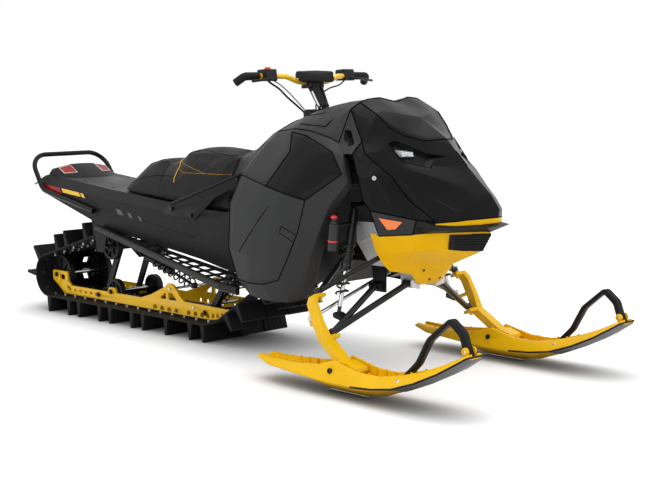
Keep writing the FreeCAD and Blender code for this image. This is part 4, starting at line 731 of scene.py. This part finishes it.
def softPiece(node, look):
    # the piece is remeshed evenly and drawn in a little, and the cloth swells it again
    obj = copyNode(node, look["name"], flat=False)
    remesh = obj.modifiers.new("remesh", "REMESH")
    remesh.mode = "VOXEL"
    remesh.voxel_size = look["voxel"]
    bakeModifiers(obj)
    for _ in range(2):
        normals = [vertex.normal.copy() for vertex in obj.data.vertices]
        for vertex, normal in zip(obj.data.vertices, normals):
            vertex.co -= normal * look["inset"] / 2
    swellCover(obj, look)
    subdivide(obj, 1)
    smoothAll(obj)
    finishPiece(obj, bodyOf(node), slotOf[node], node=node)
    return obj


seatCushion = softPiece("seat", softLooks["seat"])
softPiece("bar_pad", softLooks["bar_pad"])
print("soft goods finished")

# Stitches and cords of the seat. Columns: x and z along each line
stitchLook = {"pitch": 0.0085, "size": (0.0011, 0.0011, 0.006), "lift": 0.0002, "sunk": 0.0006,
              "seam": 0.0016, "block": ((-1, -1, -0.5), (1, 1, 0.5), (0.6, 0.6))}
strapLook = {"route": [(-470, 806), (-460, 770), (-452, 738), (-446, 700)], "over": range(-80, 81, 10),
             "step": 0.01, "lift": 0.0008, "radius": 0.0019}
threadRoutes = [[(-450, 757), (-396, 746), (-250, 748), (-66, 750)], [(-450, 790), (-360, 774), (-230, 748)]]
coverRoutes = [[(-846, 662), (-724, 706), (-600, 724), (-470, 726)], [(-566, 780), (-560, 740), (-548, 700)],
               [(-440, 838), (-300, 842), (-70, 826)]]
seatReach, seatTop = 200, 900  # millimetres, outside the seat's side and above it


def makeSeatTrim():
    tree = surfaceOf(seatCushion)

    def onSeat(route, step, lift):
        return ontoSurface(tree, between([at(x, seatReach, z) for x, z in route], step), inward, lift)

    threads, covers = ([onSeat(route, stitchLook["pitch"], stitchLook["lift"]) for route in routes]
                       for routes in (threadRoutes, coverRoutes))
    places = [((start + end) / 2, end - start, stitchLook["size"])
              for line in threads for start, end in zip(line, line[1:])]
    scatteredBlocks("seatStitches", stitchLook["block"], mirroredPlaces(places), "seat_cover",
                    "stitchYellow")
    # painted shade: near-black lines sunk into the seat's seams
    sunk = [side for line in threads + covers
            for side in bothSides([point + inward * stitchLook["sunk"] for point in line])]
    sweptPiece("seatSeams", sunk, stitchLook["seam"], "seat_cover", "paintedRecessShade", sides=6)
    strap = onSeat(strapLook["route"], strapLook["step"], strapLook["lift"])
    top = strapLook["route"][0][0]
    over = ontoSurface(tree, [at(top, y, seatTop) for y in strapLook["over"]], -upward, strapLook["lift"])
    band = [otherSide(point) for point in reversed(strap)] + over + strap
    sweptPiece("seatStrap", [band], strapLook["radius"], "seat_cover", "stitchYellow", curved=True)


makeSeatTrim()
print("seat trim finished")

# Track: ribs on the paddles and clips over the windows. Columns of wheels: x, z and radius
belt = {"rows": 44, "thickness": 7.0, "halfWidth": 203.0, "edgeWidth": 138.0, "gap": 8.0, "repeat": 11,
        "edgeRows": (0, 1, 3, 5, 6, 8, 9), "middleRows": (1, 2, 4, 6, 7, 9, 10), "ribs": 6, "ribMargin": 8.0,
        "window": 95.0, "guides": (-18.0, 18.0), "outerGuide": 66.0,
        "wheels": [(-1449.0, 184.0, 101.0), (-250.0, 383.0, 300.0), (116.0, 375.0, 95.0),
                   (-965.0, 365.0, 65.0)]}
beltBlocks = {
    "paddleRibs": {"block": ((-0.017, -0.0022, 0.001), (0.017, 0.0022, 0.0745), (0.5, 1.0)),
                   "slot": "track_rubber", "finish": "track_rubber"},
    "beltClips": {"block": ((-0.009, -0.021, -0.0016), (0.009, 0.021, 0.0088), (0.8, 0.95)),
                  "slot": "steel", "finish": "boltBlack"},
    "clipGuides": {"block": ((-0.007, -0.0025, -0.012), (0.007, 0.0025, 0.0), (1.0, 1.0)),
                   "slot": "steel", "finish": "steel"},
}


def beltElements():
    # the arcs round the wheels and the straight runs between them
    wheels = belt["wheels"]
    normals = []
    for (x1, z1, r1), (x2, z2, r2) in zip(wheels, wheels[1:] + wheels[:1]):
        span = math.hypot(x2 - x1, z2 - z1)
        normals.append(math.atan2(z2 - z1, x2 - x1) - math.pi / 2 + math.asin((r1 - r2) / span))
    elements = []
    for k, (x, z, r) in enumerate(wheels):
        first, last = normals[k - 1], normals[k]
        while last < first:
            last += 2 * math.pi
        elements.append(("arc", (x, z, r), (first, last), (r + belt["thickness"] / 2) * (last - first)))
        x2, z2, r2 = wheels[(k + 1) % len(wheels)]
        start = (x + r * math.cos(last), z + r * math.sin(last))
        end = (x2 + r2 * math.cos(last), z2 + r2 * math.sin(last))
        elements.append(("run", (start, end), last, math.dist(start, end)))
    return elements


beltPath = beltElements()
beltLength = sum(element[3] for element in beltPath)
rowPitch = beltLength / belt["rows"]


def beltPoint(distance, height, y):
    # a place at a distance along the belt and a height above its inner face, and the way out of it
    distance = distance % beltLength
    for kind, shape, turn, length in beltPath:
        if distance <= length:
            break
        distance -= length
    share = distance / length
    if kind == "arc":
        angle = turn[0] + share * (turn[1] - turn[0])
        x = shape[0] + (shape[2] + height) * math.cos(angle)
        z = shape[1] + (shape[2] + height) * math.sin(angle)
    else:
        angle = turn
        x = shape[0][0] + share * (shape[1][0] - shape[0][0]) + height * math.cos(angle)
        z = shape[0][1] + share * (shape[1][1] - shape[0][1]) + height * math.sin(angle)
    return at(x, y, z), math.pi / 2 - angle


def paddleSpans(row):
    # the y spans that carry a paddle in this row
    half = belt["halfWidth"]
    inner = half - belt["edgeWidth"]
    place = row % belt["repeat"]
    spans = []
    if place in belt["edgeRows"]:
        spans.append((-half, -inner))
    if place in belt["middleRows"]:
        spans.append((-inner + belt["gap"], inner - belt["gap"]))
    if belt["repeat"] - 1 - place in belt["edgeRows"]:
        spans.append((inner, half))
    return spans


def makeTrackTrim():
    # upright ribs on both faces of each paddle, and a bent steel clip beside each window
    places = {name: [] for name in beltBlocks}

    def place(name, row, height, y):
        point, turn = beltPoint((row + 0.5) * rowPitch, height, y)
        places[name].append((point, (0.0, turn, 0.0), 1.0))

    for row in range(belt["rows"]):
        for low, high in paddleSpans(row):
            first, span = low + belt["ribMargin"], high - low - 2 * belt["ribMargin"]
            for k in range(belt["ribs"]):
                place("paddleRibs", row, belt["thickness"], first + span * k / (belt["ribs"] - 1))
        for side in (-1, 1):
            y = side * belt["window"]
            place("beltClips", row, 0.0, y)
            for step in (*belt["guides"], side * belt["outerGuide"]):
                place("clipGuides", row, 0.0, y + step)
    for name, look in beltBlocks.items():
        scatteredBlocks(name, look["block"], places[name], look["slot"], look["finish"])


makeTrackTrim()
print("track trim finished")

# Top and low are the damper's pins, and the coil fills its line between the shares from and to
springs = {
    "frontSpringCoils": {"top": (730, 190, 669), "low": (773, 330, 260), "from": 0.34, "to": 0.82,
                         "radius": 22.6, "wire": 4.2, "paired": True, "node": "front_springs"},
    "rearSpringCoil": {"top": (-900, 0, 320), "low": (-520, 0, 204), "from": 0.22, "to": 0.95,
                       "radius": 25.0, "wire": 4.0, "paired": False, "node": None},
    "centreSpringCoil": {"top": (-128, 0, 320), "low": (-347, 0, 137), "from": 0.22, "to": 0.93,
                         "radius": 25.0, "wire": 3.6, "paired": False, "node": None},
}
coilTurns = 7.0
damperShaft = {"from": 0.61, "to": 0.93, "radius": 0.0092}


def makeSpring(name, look):
    top, low = at(*look["top"]), at(*look["low"])
    start, end = top.lerp(low, look["from"]), top.lerp(low, look["to"])
    base = meshObject(name + "Base", [(0, 0, 0)])
    runTree(base, coilTree, {"Radius": look["radius"] / 1000, "Height": (end - start).length,
                             "Turns": coilTurns, "Wire": look["wire"] / 1000,
                             "Material": materials["spring_steel"]})
    base.data.transform((end - start).to_track_quat("Z", "Y").to_matrix().to_4x4())
    base.data.transform(Matrix.Translation(start))
    pieces = [base]
    if look["paired"]:
        other = newObject(name + "Other", base.data.copy())
        other.data.transform(Matrix.Scale(-1.0, 4, (0, 1, 0)))
        other.data.flip_normals()
        pieces.append(other)
    obj = joinObjects(pieces, name)
    smoothFaces(obj, coilShade)
    finishPiece(obj, "chassis", "spring_steel", node=look["node"])


def makeDamperShafts():
    # polished sleeves on the shafts of the front dampers
    look = springs["frontSpringCoils"]
    top, low = at(*look["top"]), at(*look["low"])
    line = [top.lerp(low, damperShaft["from"]), top.lerp(low, damperShaft["to"])]
    sweptPiece("damperShafts", bothSides(line), damperShaft["radius"], "steel", "boltSteel", sides=16)


for name, look in springs.items():
    makeSpring(name, look)
makeDamperShafts()
print("springs finished")

# Bolt heads on the left side, each with its mirror image. Columns: x, y, z and width
sideBolts = [(-262, 148.4, 122, 20), (-1085, 148.4, 118, 20), (-1449, 148.4, 184, 20),
             (-980, 148.4, 143, 20), (-391, 222.2, 587, 14), (-256, 222.2, 566, 14),
             (-1010, 226.5, 543, 14), (-1370, 226.5, 610, 14), (60, 221.2, 742, 12), (120, 221.2, 762, 12),
             (730, 203, 669, 20), (773, 343, 260, 20)]
cheekBolt = {"place": (920, 283, 786), "facing": (0.55, 0.8, 0.25), "size": 0.017}
bellyBolts = {"places": [(30, 384), (74, 424)], "size": 0.011}  # y and z on the belly pan
skiCentre = 457.0
# Heads on both sides of each ski: x, z, distance from the ski's middle, direction out and up, width
skiBolts = {
    "loopCaps": {"slot": "ski_yellow", "finish": "ski_yellow",
                 "heads": [(1526, 238, 16.8, 1.0, 0.0, 0.030)]},
    "skiPivotPlug": {"slot": "steel", "finish": "boltBlack", "heads": [(930, 94, 75.6, 0.9, 0.44, 0.022)]},
    "skiBolts": {"slot": "steel", "finish": "boltSteel",
                 "heads": [(1262, 104, 70.4, 0.7, 0.7, 0.015), (1526, 238, 21.5, 1.0, 0.0, 0.013)]},
}


def makeBolts():
    # every bolt head of the machine that shows, by body
    places = [(at(x, y, z), outward, size / 1000) for x, y, z, size in sideBolts]
    scatteredPiece("chassisBolts", hexBolt, mirroredPlaces(places), "steel", "boltBlack")
    cheek = [(at(*cheekBolt["place"]), Vector(cheekBolt["facing"]), cheekBolt["size"])]
    scatteredPiece("panelFasteners", roundBolt, mirroredPlaces(cheek), "steel", "frameWhite")
    tree = nodeSurface("belly_pan")
    belly = [(*ontoFront(tree, y, z), bellyBolts["size"]) for y, z in bellyBolts["places"]]
    scatteredPiece("bellyBolts", roundBolt, mirroredPlaces(belly), "steel", "boltBlack")
    for side, sign in (("left", 1), ("right", -1)):
        for name, look in skiBolts.items():
            heads = [(at(x, sign * (skiCentre + s * reach), z), Vector((0, sign * s * out, up)), size)
                     for x, z, reach, out, up, size in look["heads"] for s in (-1, 1)]
            scatteredPiece(name + "_" + side, roundBolt, heads, look["slot"], look["finish"], "ski_" + side)


makeBolts()
print("bolts placed")

# Ski stations. Columns: x, keel height, edge height, half width there, walls' top, half width at the walls
skiStations = [(930, 10, 53, 93, 130, 58), (1050, 10, 53, 93, 104, 58), (1150, 24, 60, 93, 102, 56),
               (1250, 58, 76, 92, 120, 54), (1350, 98, 110, 90, 148, 52), (1450, 146, 156, 82, 186, 46),
               (1530, 196, 204, 62, 224, 34), (1550, 214, 219.5, 44, 233, 24)]
skiTrim = {"edgeRadius": 0.0036, "edgeLift": 2, "soleDrop": 0.8, "soleWall": 0.0006, "keelHalf": 14.0,
           "toothPitch": 42.0, "toothInset": 14, "rearHalf": 39, "toothDrop": 2,
           "tooth": ((-0.005, -0.004, -0.02), (0.005, 0.004, 0.006), (0.7, 0.7)),
           "rearTeeth": ((700, 94), (655, 93), (610, 91), (745, 96))}  # x and the walls' top


def makeSkiEdge(side, centre):
    # a dark rim round the front of the ski
    rims = [[at(x, centre + s * half, edge + skiTrim["edgeLift"]) for x, keel, edge, half, top, wall
             in skiStations[1:]] for s in (1, -1)]
    sweptPiece("skiEdge_" + side, [rims[0] + rims[1][::-1]], skiTrim["edgeRadius"], "ski_yellow",
               "rubber_black", "ski_" + side)


def makeSkiSole(side, centre):
    # a thin grey sole under the ski's turned-up front
    points, faces = [], []
    rows = skiStations[3:]
    for x, keel, edge, half, top, wall in rows:
        keelHalf = min(skiTrim["keelHalf"], half / 2)
        points += [at(x, centre + y, z - skiTrim["soleDrop"]) for y, z in
                   ((-half, edge), (-keelHalf, keel), (keelHalf, keel), (half, edge))]
    for k in range(len(rows) - 1):
        for j in range(3):
            faces.append((4 * k + j, 4 * k + j + 1, 4 * k + j + 5, 4 * k + j + 4))
    sole = meshObject("skiSole_" + side, points, faces=faces)
    with editing(sole.data) as build:
        bmesh.ops.recalc_face_normals(build, faces=build.faces)
        if sum(face.normal.z for face in build.faces) > 0:
            bmesh.ops.reverse_faces(build, faces=build.faces)
    wall = sole.modifiers.new("wall", "SOLIDIFY")
    wall.thickness = skiTrim["soleWall"]
    wall.offset = 1.0
    finishPiece(sole, "ski_" + side, "ski_yellow", "soleGrey")


def makeSkiTeeth(side, centre):
    # small teeth along the inside of both walls
    rows = []
    for (x1, _, _, _, top1, wall1), (x2, _, _, _, top2, wall2) in zip(skiStations, skiStations[1:5]):
        count = max(1, round((x2 - x1) / skiTrim["toothPitch"]))
        for k in range(count):
            x, top, wall = (a + (b - a) * k / count for a, b in ((x1, x2), (top1, top2), (wall1, wall2)))
            rows.append((x, top, wall - skiTrim["toothInset"]))
    rows += [(x, top, skiTrim["rearHalf"]) for x, top in skiTrim["rearTeeth"]]
    places = [(at(x, centre + s * half, top - skiTrim["toothDrop"]), upward, 1.0)
              for x, top, half in rows for s in (-1, 1)]
    scatteredBlocks("skiTeeth_" + side, skiTrim["tooth"], places, "ski_yellow",
                    body="ski_" + side)


for side, sign in (("left", 1), ("right", -1)):
    for makeTrim in (makeSkiEdge, makeSkiSole, makeSkiTeeth):
        makeTrim(side, sign * skiCentre)
    for piece, width, segments in (("ski_", 0.0018, 2), ("spindle_", 0.003, 3), ("ski_loop_", 0.005, 3)):
        bevelledPiece(piece + side, width, segments)
print("skis finished")

# Slats across the grille. Rows are half width and height, at the top and at the bottom
grille = {"slats": 7, "radius": 0.0021, "top": (104, 577), "low": (80, 516), "points": 9, "lift": 0.0003}
# Headlamps: a bright row of cells and a round projector in each, on the hood's slanted lamp plane
lamp = {"origin": (903, 198, 919), "slope": (0.76, 0.859),
        "block": ((-0.0034, -0.009, 0.0), (0.0034, 0.009, 0.0022), (0.4, 0.8)),
        "cells": (137, 146, 161, 170), "cellHeight": 873, "cellDepth": -8.2, "projector": (153.5, 872, -8.4),
        "projectorSize": 0.017}


def makeGrilleSlats():
    paths = []
    tree = nodeSurface("grille")
    steps = [2 * j / (grille["points"] - 1) - 1 for j in range(grille["points"])]
    for k in range(grille["slats"]):
        share = k / (grille["slats"] - 1)
        width, z = (a + (b - a) * share for a, b in zip(grille["top"], grille["low"]))
        found = [ontoFront(tree, step * width, z, grille["lift"]) for step in steps]
        paths.append([place[0] for place in found if place])
    sweptPiece("grilleSlats", paths, grille["radius"], "trim_black", sides=6)


def lampPlace(y, z, forward):
    # a place in front of the lamp plane
    originX, originY, originZ = lamp["origin"]
    return at(originX - lamp["slope"][0] * (y - originY) - lamp["slope"][1] * (z - originZ) + forward, y, z)


def makeHeadlampDetail():
    facing = Vector((1.0, *lamp["slope"])).normalized()
    cells = [(lampPlace(y, lamp["cellHeight"], lamp["cellDepth"]), facing, 1.0) for y in lamp["cells"]]
    scatteredBlocks("lampCells", lamp["block"], mirroredPlaces(cells), "lamp_glass", "boltSteel")
    projector = [(lampPlace(*lamp["projector"]), facing, lamp["projectorSize"])]
    scatteredPiece("lampProjectors", roundBolt, mirroredPlaces(projector), "lamp_glass")


makeGrilleSlats()
makeHeadlampDetail()
makeRims("tailLensFrames")
print("nose and lamps finished")

# Plain coloured patches on the tunnel's sides, each with its corners as x and z
tunnelSide = 212.0
patchDepth = (0.25, 1.0)  # millimetres outside the tunnel's side
patches = {
    "sideReflectors": {"finish": "lens_red", "outlines": [
        [(-1440, 649), (-1300, 637), (-1278, 606), (-1400, 618)]]},
    "sidePatches": {"finish": "bar_yellow", "outlines": [
        [(-1284, 635), (-1134, 621), (-1118, 601), (-1268, 614)],
        [(-1122, 620), (-1096, 617), (-1080, 597), (-1106, 600)]]},
    "sideFlashes": {"finish": "soleGrey", "outlines": [
        [(-830, 560), (-790, 556), (-770, 532), (-810, 536)],
        [(-740, 548), (-715, 545), (-698, 524), (-723, 527)],
        [(-660, 537), (-640, 534), (-624, 514), (-644, 517)]]},
}


def sidePlates(name, outlines, inner, outer):
    # flat plates on both sides of the machine, between two distances from its middle
    points, faces = [], []
    for outline in outlines:
        count = len(outline)
        for sign in (1, -1):
            start = len(points)
            for y in (inner, outer):
                points += [at(x, sign * y, z) for x, z in outline]
            faces += [range(start, start + count), range(start + 2 * count - 1, start + count - 1, -1)]
            for k in range(count):
                following = (k + 1) % count
                faces.append((start + k, start + following, start + count + following, start + count + k))
    return meshObject(name, points, faces=[tuple(face) for face in faces])


for name, look in patches.items():
    patch = sidePlates(name, look["outlines"], tunnelSide + patchDepth[0], tunnelSide + patchDepth[1])
    faceOutward(patch)
    finishPiece(patch, "chassis", "tunnel_black", look["finish"])

# Beads pressed in the tunnel's sides, and painted shade along grooves in the panels. Columns: x and z along
# each line
tunnelBeads = {"radius": 0.0022, "lines": [
    [(-1090, 610), (-1020, 588), (-960, 552), (-880, 540)],
    [(-620, 520), (-560, 510), (-470, 498), (-240, 470)],
    [(-1400, 606), (-1100, 560), (-980, 520)]]}
panelGrooves = {"radius": 0.0017, "step": 0.008, "lines": {
    "lower_doors": [[(632, 528), (548, 566), (558, 592), (640, 560)], [(470, 660), (300, 470)]],
    "side_panels": [[(262, 905), (212, 800), (170, 690)]],
    "console": [[(470, 982), (642, 975), (660, 1008)], [(430, 1010), (600, 1026)]],
}}
panelReach = 600  # millimetres from the middle, outside every panel


def makePressedLines():
    sweptPiece("tunnelBeads", sideLines(tunnelBeads["lines"], tunnelSide), tunnelBeads["radius"],
               "tunnel_black", sides=10, curved=True)
    paths = []
    for node, lines in panelGrooves["lines"].items():
        tree = nodeSurface(node)
        for line in lines:
            flat = between([at(x, panelReach, z) for x, z in line], panelGrooves["step"])
            path = ontoSurface(tree, flat, inward)
            if len(path) > 2:
                paths += bothSides(path)
    # painted shade: near-black lines where the panels' grooves lie
    sweptPiece("panelGrooves", paths, panelGrooves["radius"], "body_charcoal", "paintedRecessShade", sides=6)


makePressedLines()

bulkheadSide = {"inner": 150.0, "outer": 154.0, "ribRadius": 0.004,
                "outline": [(700, 600), (884, 604), (884, 470), (862, 434), (770, 434), (700, 520)],
                "ribs": [[(712, 590), (860, 446)], [(874, 590), (720, 520)]]}


def makeBulkheadSides():
    # cast walls beside the engine, inboard of the dampers
    inner, outer = bulkheadSide["inner"], bulkheadSide["outer"]
    plates = sidePlates("bulkheadPlates", [bulkheadSide["outline"]], inner, outer)
    ribs = sweepPaths("bulkheadRibs", sideLines(bulkheadSide["ribs"], outer), bulkheadSide["ribRadius"],
                      "bulkhead_silver")
    obj = joinObjects([plates, ribs], "bulkheadSides")
    faceOutward(obj)
    finishPiece(obj, "chassis", "bulkhead_silver")


makeBulkheadSides()

# Ribs across the webs of the rear, small and upper wheels. Columns: x, z, outer radius, y and ribs
spokes = {"block": ((-0.0035, 0.0, 0.0), (0.0035, 1.0, 0.008), (0.7, 1.0)),
          "hub": 24.0, "tyre": 13.5, "web": 4.0,
          "wheels": [(-1449, 184, 100, 113, 8), (-980, 143, 59, 113, 6), (-965, 365, 64, 140, 6)]}


def makeSpokes():
    places = []
    hub = spokes["hub"]
    for x, z, radius, y, count in spokes["wheels"]:
        length = (radius - spokes["tyre"] - hub) / 1000
        for k in range(count):
            angle = 2 * math.pi * k / count
            along = Vector((math.cos(angle), 0, math.sin(angle)))
            for side in (-1, 1):
                for face in (-1, 1):
                    start = at(x + hub * along.x, side * y + face * spokes["web"], z + hub * along.z)
                    away = Vector((0, face, 0))
                    turn = Matrix((along.cross(away), along, away)).transposed().to_euler()
                    places.append((start, tuple(turn), (1.0, length, 1.0)))
    scatteredBlocks("wheelSpokes", spokes["block"], places, "wheel_black")


makeSpokes()

cables = {
    "brakeHose": {"radius": 0.0042, "points": [(262, -226, 1156), (262, -200, 1140), (254, -150, 1118),
                                               (246, -100, 1085), (262, -56, 1046), (280, -34, 1020)]},
    "throttleCable": {"radius": 0.0032, "points": [(258, 232, 1156), (262, 190, 1132), (262, 130, 1118),
                                                   (262, 80, 1092), (272, 44, 1056), (284, 30, 1020)]},
    "switchLead": {"radius": 0.0022, "points": [(280, -214, 1156), (284, -170, 1134), (278, -120, 1104),
                                                (276, -76, 1070), (284, -40, 1034), (292, -30, 1014)]},
}
reservoir = {"low": (752, 342, 508), "high": (768, 348, 612), "ring": (0.034, 0.040), "ringRadius": 0.0209,
             "knobLift": 0.022, "knobSize": 0.028}
stopSwitch = {"place": (264, -222, 1199), "size": 0.026}
postStrip = {"foot": (0.4475, 0.0, 0.9638), "slope": (-0.5, 0.0, 0.866), "from": 0.085, "to": 0.165,
             "step": 0.02, "radius": 0.0055}


def makeCables():
    for name, look in cables.items():
        path = [at(*place) for place in look["points"]]
        sweptPiece(name, [path], look["radius"], "control_black", "cableBlack", "handlebar", sides=10,
                   curved=True)


def makeAccents():
    # red knobs and rings on the reservoirs, the red switch on the right control block
    low, high = at(*reservoir["low"]), at(*reservoir["high"])
    axis = (high - low).normalized()
    ring = bothSides([low + axis * height for height in reservoir["ring"]])
    sweptPiece("reservoirRings", ring, reservoir["ringRadius"], "shock_black", "signalRed", sides=24)
    knob = [(high + axis * reservoir["knobLift"], axis, reservoir["knobSize"])]
    scatteredPiece("reservoirKnobs", roundBolt, mirroredPlaces(knob), "shock_black", "signalRed")
    switch = [(at(*stopSwitch["place"]), upward, stopSwitch["size"])]
    scatteredPiece("stopSwitch", roundBolt, switch, "control_black", "signalRed", "handlebar")


def makePostStrips():
    # a bright strip on each side of the steering post
    foot, slope = Vector(postStrip["foot"]), Vector(postStrip["slope"])
    line = between([foot + slope * postStrip[key] for key in ("from", "to")], postStrip["step"])
    path = ontoSurface(nodeSurface("steering_post"), line, inward)
    sweptPiece("postStrips", bothSides(path), postStrip["radius"], "steel", "boltSteel", "handlebar",
               sides=12)


makeCables()
makeAccents()
makePostStrips()
print("cables and accents finished")

for helper in (hexBolt, roundBolt):
    bpy.data.objects.remove(helper)

studio = {"floor": 0.80, "floorRough": 0.9, "floorGlow": 0.30, "floorReach": 30.0, "paintedShadowReach": 0.30,
          "skyTop": 1.25, "skyLow": 0.22, "skyRange": (-0.1, 0.8)}
softboxes = {
    "topBox": {"place": (0.2, 0.0, 4.2), "target": (0.0, 0.0, 0.5), "size": (4.5, 3.0), "power": 62.0},
    "rightBox": {"place": (0.6, -4.6, 2.4), "target": (0.2, 0.0, 0.6), "size": (4.0, 2.0), "power": 30.0},
    "frontBox": {"place": (4.6, 1.6, 2.2), "target": (0.4, 0.0, 0.6), "size": (2.2, 2.4), "power": 26.0},
}
view = {"place": (4.46346, -3.94377, 1.14615), "azimuth": 45.597, "elevation": 6.651, "roll": -0.476,
        "lens": 73.95, "sensor": 36.0, "farEnd": 100.0}
white = (1.0, 1.0, 1.0, 1.0)


def seenRays(tree):
    # one for the camera and for what mirrors or clear pieces show
    path = tree.nodes.new("ShaderNodeLightPath").outputs
    first = addMath(tree, "MAXIMUM", path["Is Camera Ray"], path["Is Glossy Ray"])
    return addMath(tree, "MAXIMUM", first, path["Is Transmission Ray"])


def makeWorld():
    # a soft sky for light, and plain white where it is seen
    world = bpy.data.worlds.new("studio")
    scene.world = world
    world.use_nodes = True
    tree = world.node_tree
    tree.nodes.clear()
    place = tree.nodes.new("ShaderNodeTexCoord").outputs["Generated"]
    split = addNode(tree, "ShaderNodeSeparateXYZ", {0: place})
    low, high = studio["skyRange"]
    level = addNode(tree, "ShaderNodeMapRange",
                    {"Value": split.outputs["Z"], "From Min": low, "From Max": high,
                     "To Min": studio["skyLow"], "To Max": studio["skyTop"]})
    light = addNode(tree, "ShaderNodeBackground", {"Color": white, "Strength": level})
    seen = addNode(tree, "ShaderNodeBackground", {"Color": white})
    mix = addNode(tree, "ShaderNodeMixShader", {"Fac": seenRays(tree), 1: light, 2: seen})
    addNode(tree, "ShaderNodeOutputWorld", {0: mix})


def makeFloor():
    # white to the camera, with the object's shadow kept, and a painted contact shadow: ambient occlusion
    # darkens the floor near the object
    floor = bpy.data.materials.new("studioFloor")
    floor.use_nodes = True
    tree = floor.node_tree
    # painted shadow: ambient occlusion darkens the floor's colour and its glow close to the object
    paintedContactShadow = addNode(tree, "ShaderNodeAmbientOcclusion", {"Color": (*[studio["floor"]] * 3, 1.0),
                                                        "Distance": studio["paintedShadowReach"]})
    shader = tree.nodes["Principled BSDF"]
    feed(tree, shader, {"Base Color": paintedContactShadow, "Roughness": studio["floorRough"],
                        "Specular IOR Level": 0.0})
    glow = addMath(tree, "MULTIPLY", seenRays(tree), studio["floorGlow"])
    shade = addMath(tree, "MULTIPLY", glow, paintedContactShadow.outputs["AO"])
    light = addNode(tree, "ShaderNodeEmission", {"Strength": shade})
    both = addNode(tree, "ShaderNodeAddShader", {0: shader, 1: light})
    feed(tree, tree.nodes["Material Output"], {0: both})
    reach = studio["floorReach"]
    corners = [(-reach, -reach, 0), (reach, -reach, 0), (reach, reach, 0), (-reach, reach, 0)]
    ground = meshObject("floor", corners, faces=[(0, 1, 2, 3)])
    ground.data.materials.append(floor)


def makeSoftbox(name, look):
    data = bpy.data.lights.new(name, "AREA")
    data.shape = "RECTANGLE"
    data.size, data.size_y = look["size"]
    data.energy = look["power"]
    obj = newObject(name, data)
    obj.location = look["place"]
    obj.rotation_euler = (Vector(look["target"]) - obj.location).to_track_quat("-Z", "Y").to_euler()


def makeCamera():
    azimuth, elevation, roll = (math.radians(view[key]) for key in ("azimuth", "elevation", "roll"))
    back = Vector((math.sin(azimuth) * math.cos(elevation), -math.cos(azimuth) * math.cos(elevation),
                   math.sin(elevation)))
    level = Vector((math.cos(azimuth), math.sin(azimuth), 0.0))
    steep = back.cross(level)
    right = level * math.cos(roll) + steep * math.sin(roll)
    up = steep * math.cos(roll) - level * math.sin(roll)
    data = bpy.data.cameras.new("camera")
    data.sensor_width = view["sensor"]
    data.lens = view["lens"]
    data.clip_end = view["farEnd"]
    camera = newObject("camera", data)
    camera.matrix_world = Matrix((right, up, back)).transposed().to_4x4()
    camera.location = view["place"]
    scene.camera = camera


makeWorld()
makeFloor()
for name, look in softboxes.items():
    makeSoftbox(name, look)
makeCamera()
scene.view_settings.view_transform = "Standard"
print("studio ready")
